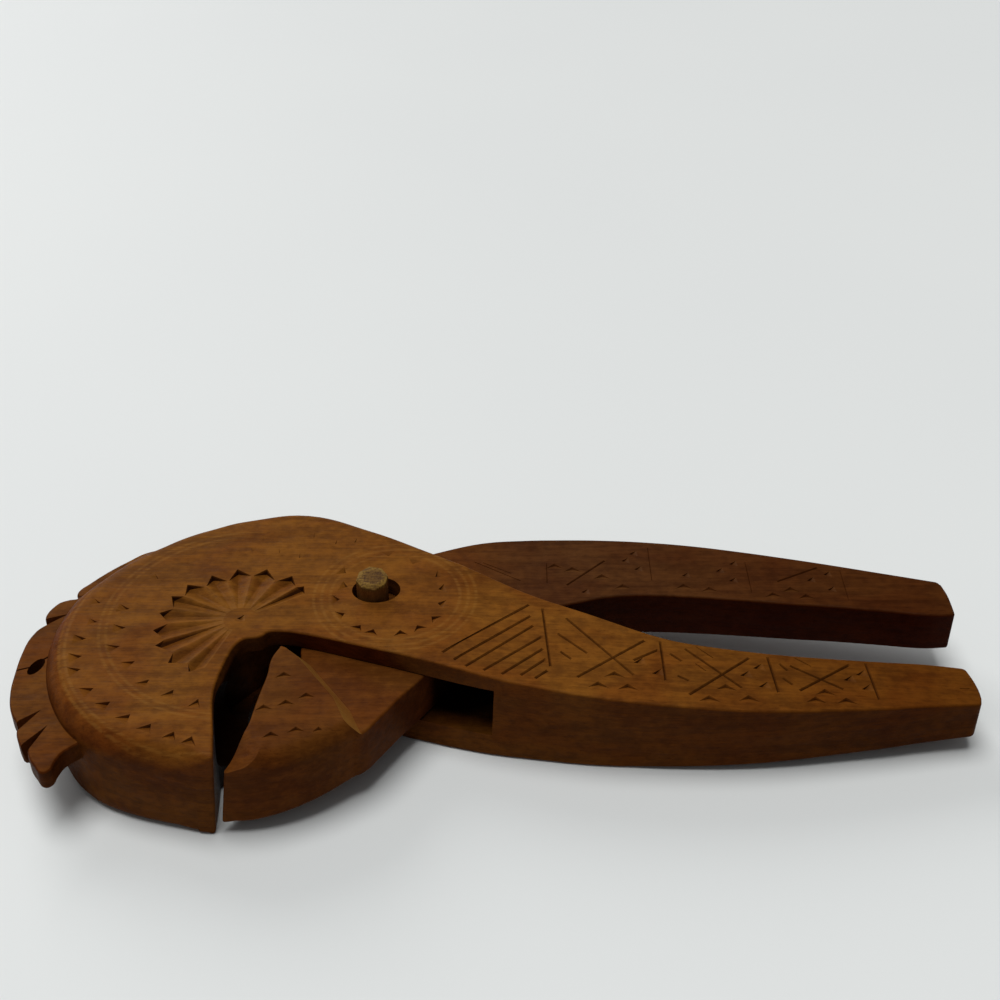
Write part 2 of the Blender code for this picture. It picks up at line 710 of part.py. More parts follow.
def make_field_lines(name, stations, reach, top, rising, collection):
    """One stroke of the cross in every field of a handle, and the stroke that closes each field."""
    bm = bmesh.new()
    depth = GROOVE_DEPTH if rising else CROSSING_GROOVE_DEPTH
    for left, right in zip(FIELD_EDGES, FIELD_EDGES[1:]):
        start_side, end_side = (-1, 1) if rising else (1, -1)
        start_x = left + FIELD_MARGIN
        end_x = right - FIELD_MARGIN
        start_y = edge_y(stations, reach, start_x, start_side) - start_side * FIELD_MARGIN
        end_y = edge_y(stations, reach, end_x, end_side) - end_side * FIELD_MARGIN
        surface_groove(bm, (start_x, start_y), (end_x, end_y), top, depth)
    if rising:
        for x in FIELD_EDGES:
            low = edge_y(stations, reach, x, -1) + FIELD_MARGIN
            high = edge_y(stations, reach, x, 1) - FIELD_MARGIN
            surface_groove(bm, (x, low), (x, high), top)
    return object_from_bmesh(name, bm, collection)


def make_slants(collection):
    """The slanting strokes between the peg's ring and the first field, shorter towards the tip."""
    bm = bmesh.new()
    for stroke in range(SLANT_COUNT):
        foot = Vector(SLANT_FOOT) + Vector(SLANT_FOOT_STEP) * stroke
        top = Vector(SLANT_TOP) + Vector(SLANT_TOP_STEP) * stroke
        surface_groove(bm, foot, top, grip_top)
    return object_from_bmesh("slant_cutter", bm, collection)


def make_head_lever(parts, cutters):
    """The head, neck and front handle."""
    outline = head_outline()
    width_at = outer_rim_width(outline, RIM_ROUND)
    lever = make_plank("head_lever", outline, 0.0, BODY_THICKNESS, width_at, width_at, parts)
    shape_head_plank(lever)
    add_facets(lever)
    crest_low = CREST_HIGH - CREST_THICKNESS
    crest = slab("crest_shape", crest_outline(), crest_low, CREST_HIGH, cutters)
    add_facets(crest)
    add_boolean(lever, crest, "UNION")
    slot_high = LOWER_CHEEK + SLOT_HEIGHT
    add_boolean(lever, slab("slot_cutter", slot_outline(), LOWER_CHEEK, slot_high, cutters), "DIFFERENCE")
    snug = PEG_RADIUS + FIT
    lower_top = LOWER_CHEEK + OVERCUT
    lower = make_bore("lower_bore_cutter", snug, snug, (0.0, 0.0), -OVERCUT, lower_top, cutters)
    add_boolean(lever, lower, "DIFFERENCE")
    worn_place = (WORN_HOLE_SHIFT, 0.0)
    worn_low = slot_high - OVERCUT
    worn_top = BODY_THICKNESS + OVERCUT
    worn = make_bore(
        "worn_bore_cutter", WORN_HOLE_X, WORN_HOLE_Y, worn_place, worn_low, worn_top, cutters
    )
    add_boolean(lever, worn, "DIFFERENCE")
    hollow_x = LIP_X - MOUTH_BULGE - HOLLOW_DEPTH + HOLLOW_RADIUS
    hollow = make_hollow("head_hollow_cutter", hollow_x, MOUTH_MIDDLE_Y, BODY_THICKNESS / 2.0, cutters)
    add_boolean(lever, hollow, "DIFFERENCE")
    hole = make_bore(
        "crest_hole_cutter",
        CREST_HOLE_WIDTH / 2.0,
        CREST_HOLE_LENGTH / 2.0,
        on_circle(CREST_HOLE_ANGLE, HEAD_RADIUS + CREST_HOLE_REACH),
        crest_low - OVERCUT,
        CREST_HIGH + OVERCUT,
        cutters,
    )
    add_boolean(lever, hole, "DIFFERENCE")
    add_boolean(lever, make_rosette(cutters), "DIFFERENCE")
    add_boolean(lever, make_head_chips(cutters), "DIFFERENCE")
    add_boolean(lever, make_slants(cutters), "DIFFERENCE")
    for name, rising in (("front_rising_cutter", True), ("front_falling_cutter", False)):
        lines = make_field_lines(name, FRONT_GRIP, FRONT_GRIP_REACH, grip_top, rising, cutters)
        add_boolean(lever, lines, "DIFFERENCE")
    lever.data.materials.append(make_material("waxed_wood", WOOD_COLOUR, WAX_ROUGHNESS))
    return lever


def make_jaw_lever(parts, cutters):
    """The jaw, tongue and rear handle, drawn with the peg's axis at the origin."""
    tongue = tongue_outline()
    lever = make_plank("jaw_lever", tongue, TONGUE_LOW, TONGUE_HIGH, plain_width, plain_width, parts)
    shape_jaw_plank(lever)
    add_facets(lever)
    outline = jaw_outline()
    upper = outer_rim_width(outline, JAW_ROUND)
    jaw = make_plank("jaw_shape", outline, JAW_LOW, JAW_HIGH, upper, plain_width, cutters)
    shape_jaw(jaw)
    add_facets(jaw)
    add_boolean(lever, jaw, "UNION")
    snug = PEG_RADIUS + FIT
    bore_low = TONGUE_LOW - OVERCUT
    bore_top = TONGUE_HIGH + OVERCUT
    bore = make_bore("tongue_bore_cutter", snug, snug, (0.0, 0.0), bore_low, bore_top, cutters)
    add_boolean(lever, bore, "DIFFERENCE")
    hollow_x = LIP_X - MOUTH_BULGE + CHAMBER_WIDTH + HOLLOW_DEPTH - HOLLOW_RADIUS
    jaw_middle = (JAW_LOW + JAW_HIGH) / 2.0
    hollow = make_hollow("jaw_hollow_cutter", hollow_x, MOUTH_MIDDLE_Y, jaw_middle, cutters)
    add_boolean(lever, hollow, "DIFFERENCE")
    for name, rising in (("rear_rising_cutter", True), ("rear_falling_cutter", False)):
        lines = make_field_lines(name, REAR_GRIP, REAR_GRIP_REACH, rear_grip_top, rising, cutters)
        add_boolean(lever, lines, "DIFFERENCE")
    lever.data.materials.append(make_material("waxed_wood_dark", REAR_WOOD_COLOUR, WAX_ROUGHNESS))
    return lever


def make_peg(parts):
    """The whittled peg, flush underneath and proud on top."""
    height = BODY_THICKNESS + PEG_PROUD - FIT
    bm = bmesh.new()
    bmesh.ops.create_cone(
        bm, cap_ends=True, segments=PEG_SIDES, radius1=PEG_RADIUS, radius2=PEG_RADIUS, depth=height
    )
    bmesh.ops.translate(bm, vec=(0.0, 0.0, FIT + height / 2.0), verts=bm.verts)
    peg = object_from_bmesh("pivot_peg", bm, parts)
    chamfer = peg.modifiers.new("edges", "BEVEL")
    chamfer.width = PEG_CHAMFER
    chamfer.segments = 1
    chamfer.limit_method = "ANGLE"
    chamfer.angle_limit = SHARP_ANGLE
    peg.data.materials.append(make_material("peg_wood", PEG_COLOUR, 0.6))
    return peg


def stand_on_origin(pieces, holder):
    """Moves the whole object so that the middle of its box's underside is the origin."""
    bpy.context.view_layer.update()
    depsgraph = bpy.context.evaluated_depsgraph_get()
    corners = []
    for piece in pieces:
        evaluated = piece.evaluated_get(depsgraph)
        mesh = evaluated.to_mesh()
        corners += [evaluated.matrix_world @ vert.co for vert in mesh.vertices]
        evaluated.to_mesh_clear()
    for axis in (0, 1):
        low = min(corner[axis] for corner in corners)
        high = max(corner[axis] for corner in corners)
        holder.location[axis] = -(low + high) / 2.0
    holder.location[2] = -min(corner[2] for corner in corners)
    bpy.context.view_layer.update()


def main():
    for old in list(bpy.data.objects):
        bpy.data.objects.remove(old)
    parts = make_collection("nutcracker")
    cutters = make_collection("cutters")
    holder = bpy.data.objects.new("peg_axis", None)
    parts.objects.link(holder)
    pieces = [make_head_lever(parts, cutters), make_jaw_lever(parts, cutters), make_peg(parts)]
    for piece in pieces + list(cutters.objects):
        piece.parent = holder
    stand_on_origin(pieces, holder)


main()
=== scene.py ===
"""The looks of a carved wooden lever nutcracker: its head lever, its jaw lever and its whittled peg.

Every piece is drawn in millimetres from the peg's axis, with +X along the handles and the floor at z = 0.
It is carved there, and is then brought to the frame's metres. Angles are in degrees.
"""

import json
import math

import bmesh
import bpy
from mathutils import Matrix, Vector


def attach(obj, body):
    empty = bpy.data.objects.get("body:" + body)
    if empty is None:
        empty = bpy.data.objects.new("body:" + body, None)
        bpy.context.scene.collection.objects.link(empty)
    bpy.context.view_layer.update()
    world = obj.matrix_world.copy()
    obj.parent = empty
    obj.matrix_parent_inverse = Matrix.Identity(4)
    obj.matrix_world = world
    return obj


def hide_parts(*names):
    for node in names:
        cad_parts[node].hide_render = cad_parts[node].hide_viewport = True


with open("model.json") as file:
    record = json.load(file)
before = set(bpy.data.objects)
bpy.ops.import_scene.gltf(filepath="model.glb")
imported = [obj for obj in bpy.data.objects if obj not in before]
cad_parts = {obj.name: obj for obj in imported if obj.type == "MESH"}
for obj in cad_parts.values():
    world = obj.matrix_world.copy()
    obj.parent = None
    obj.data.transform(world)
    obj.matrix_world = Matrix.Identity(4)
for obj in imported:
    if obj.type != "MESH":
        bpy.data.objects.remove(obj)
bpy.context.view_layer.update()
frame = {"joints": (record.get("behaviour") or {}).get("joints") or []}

bl_info = {
    "name": "Carved lever nutcracker",
    "version": (1, 0, 0),
    "blender": (4, 5, 0),
    "location": "View3D > Sidebar > Nutcracker",
    "description": "Builds a chip-carved wooden lever nutcracker over its packed frame",
    "category": "Object",
}

PEG_AXIS = Vector(frame["joints"][0]["pos_m"])
TO_FRAME = Matrix.Translation((PEG_AXIS.x, PEG_AXIS.y, 0.0)) @ Matrix.Scale(0.001, 4)
WOOD, CARVED = 0, 1
CORNER_WIDTH = 1.2
STEPS_ROUND_CHEEK = 26
START_ABOVE = 0.03
SMALLEST_GAP = 0.004

# Head lever, in plan, anticlockwise. A list of stops gives a value at an angle round the head, or along x
HEAD_MIDDLE = (-28.1, -12.8)
HEAD_RADIUS = 38.4
NAPE = ((12.9, 13.6), (-2.0, 22.6), (-17.0, 28.9), (-31.0, 26.8))
CHEEK_FROM, CHEEK_SHORT_OF_LIP = 108.0, 3.0
CHEEK_GROWTH = (
    (126.0, 0.0), (148.0, 1.6), (162.0, 2.9), (180.0, 3.2), (220.0, 3.3), (230.0, 2.6), (240.0, 1.2),
    (252.0, 0.0),
)
LIP = (-28.1, -51.15)
MOUTH = ((-29.1, -44), (-30.1, -38), (-30.6, -34), (-30.6, -30), (-30.1, -26), (-29.1, -21), (-28.1, -18))
MOUTH_END = ((-26.8, -16.0), (-23.2, -15.5), (-21.6, -13.9))
NECK_FRONT = ((-18.1, -13.7), (-13.6, -14.6), (-6.6, -16.6), (-1.6, -18.2), (8.4, -21.3))
FRONT_GRIP_FRONT = (
    (18.4, -25.0), (28.4, -28.2), (38.4, -30.3), (48.6, -32.0), (58.7, -32.9), (69.0, -33.4), (79.4, -33.4),
    (89.8, -32.8), (100.3, -31.6), (110.8, -30.3), (121.5, -28.7),
)
FRONT_GRIP_TIP = ((130.7, -27.6), (131.2, -25.0), (130.9, -20.6), (129.8, -16.3))
FRONT_GRIP_BACK = (
    (121.5, -15.7), (110.8, -15.7), (100.3, -15.6), (89.8, -15.3), (79.4, -14.5), (69.0, -13.2),
    (63.9, -12.0), (58.7, -10.1), (53.6, -7.9), (48.6, -5.7), (43.0, -3.4), (38.4, -1.5), (33.4, 0.9),
    (28.4, 3.8),
)

# Head lever, its roundings and leans: how far the cheek's slope reaches in and down, and how steeply it starts
CHEEK_REACH = (
    (100.0, 2.8), (126.0, 4.6), (150.0, 6.4), (175.0, 5.2), (215.0, 5.4), (258.0, 4.8), (269.0, 1.8),
)
CHEEK_DROP = (
    (100.0, 2.8), (126.0, 4.6), (150.0, 5.2), (180.0, 5.2), (215.0, 5.6), (258.0, 5.4), (269.0, 3.0),
)
CHEEK_START = (
    (100.0, 0.0), (130.0, 38.0), (165.0, 38.0), (190.0, 26.0), (215.0, 8.0), (262.0, 8.0), (269.0, 0.0),
)
BACK_EDGE, UNDER_EDGE = 2.8, 2.6
BACK_EDGE_ENDS, UNDER_EDGE_FADE = (-12.0, 24.0), (255.0, 269.0)
MOUTH_LEAN = ((15.0, 1.0), (19.0, 3.4), (24.0, 4.6), (30.0, 4.4), (35.0, 2.0), (39.0, -0.6), (51.0, -1.8))
MOUTH_WALL_ENDS, MOUTH_WALL_BACK = (-32.0, -24.6), -14.4
NECK_LEAN = ((-16.0, 0.0), (8.0, 2.9), (33.0, 0.9), (56.0, 0.0))
NECK_WALL_END, NECK_WALL_BACK = 26.3, -12.0
GRIP_FRONT_HALF = ((26.3, -10.8), (48.0, -19.0), (70.0, -23.2), (132.0, -22.0))
GRIP_FALL_START, GRIP_FALL_RUN = 20.0, 111.5
GRIP_LIFT_START, GRIP_LIFT_RUN = 54.0, 77.5

# Slot, bores and the hollow behind the mouth: radii, middles and heights
OPEN_ANGLE = 24.0
SLOT_FRONT, SLOT_BACK, SLOT_FLARE = (27.7, -27.1), (40.8, -5.2), (40.0, 6.7)
SLOT_END, SLOT_BEYOND, SLOT_MOUTH, SLOT_GAP = 80.0, 40.0, 10.0, 0.6
BORE_RADIUS, BORE_BEYOND = 3.8, 3.0
WORN_BORE_RADII, WORN_BORE_MIDDLE, WORN_BORE_TOP = (5.4, 4.4), (0.8, 0.0), 26.0
HEAD_HOLLOW = (11.6, (-22.3, -32.5, 12.8))
JAW_HOLLOW = (12.0, (-30.3, -33.5, 12.1))

# Crest
CREST_LOW, CREST_HIGH, CREST_CLEAR = 12.3, 17.3, 17.6
CREST_LOBES = (
    (
        (-47.0, 18.5), (-51.0, 20.6), (-54.4, 19.9), (-58.6, 16.4), (-62.5, 12.5), (-66.0, 8.2),
        (-67.5, 6.2), (-67.8, 4.6), (-67.2, 3.2),
    ),
    ((-70.5, 2.6), (-71.9, 0.8), (-73.1, -2.2), (-73.0, -3.9), (-72.2, -5.1)),
    (
        (-74.1, -7.6), (-75.1, -10.6), (-75.55, -14.5), (-75.55, -21.0), (-74.9, -28.1), (-73.3, -33.2),
        (-71.2, -36.6),
    ),
    ((-71.0, -38.2), (-70.6, -39.6), (-69.8, -41.4), (-68.8, -43.2)),
    (
        (-67.5, -43.4), (-66.6, -45.8), (-64.9, -48.3), (-63.0, -50.2), (-61.6, -49.6), (-60.9, -46.9),
        (-60.0, -44.6), (-58.2, -42.8),
    ),
)
CREST_ROOT = ((-53.0, -38.0), (-57.5, -30.0), (-60.5, -20.0), (-60.5, -8.0), (-57.0, 2.0), (-49.0, 10.0))
CREST_CUTS = (
    ((-65.6, 4.0), (-71.6, 2.2), 2.0, 3.4), ((-67.6, -2.0), (-73.6, -5.6), 2.8, 4.0),
    ((-66.7, -32.0), (-72.2, -38.4), 3.2, 3.6), ((-64.5, -36.4), (-69.2, -45.6), 3.2, 5.4),
)
CREST_CRACKS = (((-76.0, -20.9), (-72.2, -19.6)), ((-70.6, -17.6), (-69.2, -16.2)))
CREST_HOLE_RADII, CREST_HOLE_MIDDLE = (1.35, 2.7), (-71.3, -19.5)
CREST_HOLE_ENDS, CREST_HOLE_TURN = (9.0, 20.0), -22.0

# Jaw lever: its tongue and rear handle, then its thick part, with the facets whittled off that
TONGUE_CORNER = (-5.0, -39.0)
TONGUE_FRONT = (
    (-1.7, -41.0), (0.5, -39.8), (2.95, -36.4), (5.3, -32.9), (7.6, -29.4), (11.8, -23.8), (20.0, -12.4),
    (32.0, -3.8), (40.0, -0.8),
)
REAR_GRIP_INNER = (
    (46.8, 1.1), (50.8, 2.3), (56.9, 3.3), (64.1, 3.4), (74.3, 2.7), (84.5, 1.7), (94.7, 0.6),
    (104.9, -0.4), (115.1, -1.7), (125.3, -2.9),
)
REAR_GRIP_TIP = ((130.3, -2.6), (130.1, 4.4), (129.2, 9.0))
REAR_GRIP_BACK = (
    (122.6, 10.7), (115.1, 12.6), (104.9, 15.2), (94.7, 17.6), (84.5, 19.8), (74.3, 21.7), (64.1, 23.0),
    (53.9, 23.7), (43.7, 23.9), (34.0, 23.6), (24.0, 22.4),
)
TONGUE_STOP = ((13.0, 18.6), (-4.0, 9.6))
TONGUE_ROOT = ((-12.0, -1.0), (-15.0, -14.0), (-13.0, -30.0))
REAR_BEND, REAR_RUN, REAR_FALL, REAR_LIFT = 54.4, 75.2, 0.6, 0.8
REAR_BACK, REAR_BACK_EDGE, REAR_BACK_EDGE_FADE = 8.0, 0.4, (20.0, 40.0)
JAW_LIP = (-26.5, -50.8)
JAW_RIM_ANGLES = (278.0, 285.0, 292.0, 299.0, 306.0)
JAW_FLANK = ((-1.7, -41.1), (0.3, -39.95), (2.5, -36.7))
JAW_ROOT = ((4.4, -33.6), (1.0, -27.0), (-12.6, -18.2))
JAW_POINT = ((-20.2, -20.6), (-18.7, -16.9), (-13.4, -18.6))
JAW_MOUTH = ((-25.1, -48.5), (-23.6, -43.5), (-22.6, -40), (-22.1, -36), (-21.4, -31), (-20.6, -26))
JAW_REACH = ((271.0, 2.6), (277.0, 4.4), (300.0, 4.4), (309.0, 3.4), (318.0, 2.6))
JAW_DROP = ((271.0, 4.3), (285.0, 4.5), (300.0, 3.9), (315.0, 3.2))
JAW_SLOPE_START, JAW_SLOPE_BACK = 30.0, -33.0
JAW_UNDER_EDGE = 1.2
JAW_LEAN, JAW_LEAN_ENDS = 2.3, (18.0, 26.2)
JAW_LIFT, JAW_LIFT_START, JAW_LIFT_RUN = 2.8, -22.0, 21.1
STEP_FACETS = (
    ((-16.0, -19.3, 21.2), (0.58, 0.58, 0.57)), ((-9.5, -28.0, 21.2), (0.66, 0.46, 0.59)),
    ((-4.3, -37.2, 21.2), (0.69, 0.28, 0.66)),
)
LIP_FACET = ((-22.3, -41.3, 21.2), (-0.372, -0.184, 0.910))
JAW_END = -4.0

# Peg
PEG_FOOT, PEG_FOOT_RADIUS = 0.3, 3.5
PEG_TURN, PEG_CROWN_INSET, PEG_EDGE = 12.0, 0.75, 0.14

# Carving: where each stab's point and each stroke's ends lie
ROSETTE_MIDDLE = (-28.1, -9.8)
ROSETTE_HUB = 3.4
ROSETTE_STAB = (-29.0, -9.7)
ROSETTE_TIPS = (
    (-15.4, 1.2), (-18.4, 4.8), (-24.4, 7.2), (-31.1, 7.2), (-36.6, 5.0), (-41.6, 1.8), (-44.5, -2.2),
    (-46.2, -7.8), (-46.6, -13.5), (-45.3, -18.4), (-41.6, -23.8), (-36.8, -26.5),
)
ROSETTE_NOTCHES = (
    (-14.9, -1.6), (-17.1, 0.9), (-21.9, 3.0), (-27.4, 4.8), (-32.6, 3.0), (-37.4, 1.0), (-41.6, -2.2),
    (-43.4, -6.4), (-43.7, -11.2), (-43.6, -16.5), (-41.1, -20.5), (-37.4, -24.0), (-33.4, -25.2),
)
PEG_RING_MIDDLE = (5.1, -2.0)
OUTER_STABS = (
    (-59.7, -4.5), (-59.1, -10.8), (-60.4, -16.1), (-60.1, -21.6), (-59.5, -25.6), (-55.6, -31.3),
    (-51.4, -35.3), (-46.6, -38.9), (-41.9, -41.6), (-36.9, -43.8), (-33.1, -45.1),
)
INNER_STABS = (
    (-52.9, -6.5), (-52.6, -12.6), (-52.7, -18.5), (-48.6, -23.2), (-44.6, -28.8), (-39.0, -31.8),
    (-33.5, -34.5),
)
FAINT_STABS = (
    (-58.9, 6.2), (-48.4, 3.8), (-28.5, 13.2), (-26.4, 17.6), (-22.3, 13.0), (-17.6, 11.2), (-15.0, 18.7),
    (-9.8, 16.2), (-5.4, 16.8),
)
PEG_RING_STABS = (
    (13.8, 4.5), (14.6, 0.2), (14.6, -4.5), (13.4, -9.0), (10.4, -11.8), (6.8, -13.4), (1.1, -13.1),
    (-1.8, -11.8), (-5.6, -7.9), (-7.0, -3.2), (-5.6, 1.0), (-6.4, 5.8), (2.9, 11.8), (8.5, 9.0),
)
FRONT_STABS = (
    (52.6, -23.6), (49.0, -27.0), (55.2, -27.2), (76.1, -25.6), (72.2, -29.3), (80.6, -28.6), (97.3, -25.4),
    (94.9, -27.9), (101.5, -27.7),
)
FRONT_SIDE_STABS = (
    (60.6, -23.7), (56.9, -20.6), (79.5, -22.8), (83.1, -25.9), (82.6, -20.3), (104.9, -20.5),
    (101.9, -22.4), (105.3, -24.9),
)
FRONT_TOP_STABS = ((51.0, -13.9), (55.4, -11.6), (49.8, -12.4))
JAW_STABS = (
    (-17.1, -25.2), (-11.8, -31.4), (-20.2, -34.9), (-15.8, -33.5), (-17.8, -42.6), (-12.9, -41.2),
    (-8.3, -41.2),
)
REAR_STABS = (
    (45.1, 13.4), (51.8, 10.8), (56.4, 7.3), (70.3, 7.5), (76.1, 6.5), (90.4, 4.7), (94.6, 6.6),
    (97.8, 4.2), (41.0, 14.6),
)
REAR_SIDE_STABS = (
    (46.8, 4.3), (58.6, 18.1), (56.6, 15.5), (59.4, 12.5), (70.2, 10.3), (81.6, 14.6), (78.2, 12.0),
    (80.9, 8.6), (98.8, 8.9), (102.9, 11.0), (103.0, 5.6),
)

# Rows of like stabs: which way they face, or the middle they face away from; their length; how far their wings
# spread to each side; and their share of the full depth
HEAD_STAB_ROWS = (
    (INNER_STABS, ROSETTE_MIDDLE, 3.3, 27.0, 0.8),
    (FAINT_STABS, ROSETTE_MIDDLE, 2.2, 24.0, 0.4),
    (PEG_RING_STABS, PEG_RING_MIDDLE, 2.4, 42.0, 1.0),
)
GRIP_STAB_ROWS = (
    (FRONT_STABS, -90.0, 3.2, 50.0, 0.8),
    (FRONT_SIDE_STABS, 14.0, 2.9, 24.0, 1.1),
    (FRONT_TOP_STABS, 90.0, 1.7, 40.0, 0.5),
)
JAW_STAB_ROWS = ((JAW_STABS, -84.0, 2.6, 48.0, 0.8),)
REAR_STAB_ROWS = (
    (REAR_STABS, -90.0, 2.9, 48.0, 0.6),
    (REAR_SIDE_STABS, 8.0, 2.2, 28.0, 0.7),
)
SLANTS = (
    ((16.1, -20.5), (34.9, -3.7)), ((18.6, -22.8), (35.2, -7.4)), ((21.1, -24.7), (35.7, -10.6)),
    ((24.9, -25.6), (37.5, -14.0)), ((28.7, -26.5), (37.7, -17.8)), ((32.7, -26.5), (38.2, -21.0)),
    ((35.7, -27.2), (38.5, -24.5)),
)
FRONT_UPRIGHTS = (
    ((37.8, -4.7), (39.1, -23.4)), ((63.2, -13.3), (63.4, -25.7)), ((86.3, -16.5), (87.2, -27.4)),
    ((107.7, -16.7), (108.6, -27.8)),
)
FRONT_RISING = (
    ((44.6, -26.1), (59.9, -13.3)), ((56.9, -19.9), (62.6, -16.1)), ((68.0, -29.5), (82.3, -17.0)),
    ((91.8, -26.4), (104.2, -17.3)),
)
FRONT_FALLING = (
    ((42.9, -7.5), (56.8, -24.6)), ((40.9, -12.7), (47.2, -18.6)), ((41.3, -18.4), (43.7, -20.7)),
    ((68.4, -15.3), (79.6, -26.6)), ((65.0, -17.1), (67.5, -19.4)), ((66.0, -23.9), (68.5, -25.3)),
    ((90.8, -18.8), (101.5, -25.3)), ((88.6, -18.3), (90.2, -20.5)), ((88.7, -22.8), (90.7, -24.8)),
)
FRONT_FAINT = (
    ((70.9, -14.4), (74.4, -17.8)), ((70.2, -19.8), (72.4, -22.0)), ((92.2, -16.2), (95.6, -18.7)),
    ((126.9, -22.9), (129.3, -22.8)),
)
REAR_RISING = (((43.6, 6.8), (52.8, 15.7)), ((91.8, 8.4), (102.0, 13.6)))
REAR_FAINT = (
    ((22.4, 15.2), (33.2, 8.3)), ((39.2, 14.8), (39.2, 7.5)), ((63.1, 20.6), (63.2, 8.5)),
    ((85.4, 15.5), (85.6, 4.5)), ((107.0, 12.5), (107.2, 2.0)), ((24.4, 14.9), (31.0, 11.0)),
)

# Rows of strokes that don't cross one another, with their share of the full width and depth
FRONT_STROKE_ROWS = (
    ("slants", SLANTS, 1.0),
    ("uprights", FRONT_UPRIGHTS + FRONT_RISING, 1.0),
    ("falling", FRONT_FALLING, 0.93),
    ("faint", FRONT_FAINT, 0.5),
)
REAR_STROKE_ROWS = (("rising", REAR_RISING, 0.8), ("faint", REAR_FAINT, 0.4))
CRACK_SHARE = 0.7
SCRIBED_LINES = (
    (ROSETTE_MIDDLE, 28.9), (ROSETTE_MIDDLE, 30.4), (HEAD_MIDDLE, 36.9), (HEAD_MIDDLE, 38.2),
    (PEG_RING_MIDDLE, 14.4), (PEG_RING_MIDDLE, 16.3), (PEG_RING_MIDDLE, 18.0),
)

# Patterns in the wood: features a metre along x, y and z, detail, distortion, and the turn in radians; then
# their shares in the grain, and their depths in metres
WOOD_PATTERNS = {
    "bands": ((16.0, 150.0, 150.0), 3.0, 1.2, 0.05),
    "fibres": ((110.0, 1700.0, 1700.0), 3.0, 0.3, 0.05),
    "pores": ((700.0, 4200.0, 4200.0), 2.0),
    "patches": ((55.0, 80.0, 80.0), 4.0, 0.6),
    "mottling": ((420.0, 560.0, 560.0), 3.0),
    "facets": ((90.0, 170.0, 170.0), 1.0),
}
PEG_PATTERNS = {
    "rings": ((420.0, 1500.0, 300.0), 3.0, 0.5, 0.5),
    "specks": ((2600.0, 2600.0, 500.0), 2.0),
}
WOOD_GRAIN = {"bands": 0.40, "fibres": 0.25, "mottling": 0.35}
PEG_GRAIN = {"rings": 0.6, "specks": 0.4}
WOOD_BUMPS = {"facets": 0.0005, "mottling": 0.0001, "fibres": 0.00006, "pores": 0.00003}
PEG_BUMPS = {"rings": 0.0003, "specks": 0.0001}

# Tints that the wood's colours are multiplied by
# Darker towards the handles' tips
HEAD_TIPWARD_TINT = (0.64, 0.54, 0.40, 1.0)
REAR_TIPWARD_TINT = (0.86, 0.70, 0.45, 1.0)
JAW_TOP_TINT = (1.62, 1.50, 0.82, 1.0)
JAW_SIDE_TINT = (2.05, 3.20, 2.60, 1.0)
CHEEK_TINT = (0.80, 0.66, 0.74, 1.0)
PATCH_TINT = (0.72, 0.50, 0.46, 1.0)
PORE_TINT = (0.45, 0.32, 0.25, 1.0)
# Painted shade on upper faces that lie low in the hollows
LOW_SHADE_TINT = (0.16, 0.12, 0.10, 1.0)
CREST_TINT = (0.62, 0.55, 0.50, 1.0)
# Painted shade in the chamber behind the mouth, on the neck's front wall and in the slot
CHAMBER_SHADE_TINT = (0.07, 0.05, 0.05, 1.0)
NECK_SHADE_TINT = (0.62, 0.34, 0.32, 1.0)
SLOT_SHADE_TINT = (0.06, 0.04, 0.04, 1.0)
HEART_TINT = (0.50, 0.42, 0.50, 1.0)

# Where the tints lie in the frame: ranges in metres along x, in height, or away from a middle in the plan
CHEEK_SLOPE_EAST = (-0.08, -0.07)
TIPWARD_EAST = (0.005, 0.095)
JAW_TOP_EAST, JAW_SIDE_EAST = (-0.02, 0.012), (-0.036, -0.004)
LOW_SHADE_HEIGHT = (0.004, 0.0165)
LINES_EAST, LINE_EDGE = (-0.061, -0.052), (0.0001, 0.00055)
CREST_EAST, CREST_HEIGHT = (-0.087, -0.085), (0.0178, 0.0186)
CHAMBER_REACH, CHAMBER_HEIGHT = (0.009, 0.018), (0.0195, 0.0208)
NECK_REACH = (0.008, 0.018)
SLOT_REACH, SLOT_HEIGHT = (0.011, 0.0145), (0.0184, 0.019)
ROSETTE_REACH = (0.0195, 0.0215)
HEART_REACH, PEG_CROWN_HEIGHT = (0.0026, 0.0036), (0.0242, 0.0257)
CHAMBER_MIDDLE = (-26.5, -31.0)
NECK_MIDDLE = (-6.0, -18.0)
SLOT_MIDDLE = (19.0, -9.5)
HEART_MIDDLE = (0.3, 0.2)

# How strongly some tints and lines show
CREST_SHARE, CHAMBER_SHARE, SLOT_SHARE = 0.8, 0.95, 0.92
# The step's share is the light painted on the whittled step
LINE_SHARE, STEP_LIGHT_SHARE = 0.26, 0.65

# Stage: each light's place, aim, width and strength, and the camera over the peg
LIGHTS = {
    "overhead": ((-0.14, 0.0, 0.60), (-0.06, -0.02, 0.0), 36.0, 2.13),
    "window": ((-0.55, 0.95, 0.62), (0.0, 0.0, 0.0), 36.0, 1.15),
}
SKY_COLOUR, SKY_STRENGTH = (0.97, 0.98, 1.0, 1.0), 0.15
FLOOR_SIZE = 3.0
CAMERA_PLACE, CAMERA_TILT, CAMERA_LENS = (0.0284, -0.264, 0.2464), 53.0, 55.8


def length_property(name, default, description):
    return bpy.props.FloatProperty(name=name, description=description, default=default, unit="LENGTH")


def colour_property(name, default, description):
    return bpy.props.FloatVectorProperty(
        name=name, description=description, default=default + (1.0,), subtype="COLOR", size=4, min=0.0, max=1.0
    )


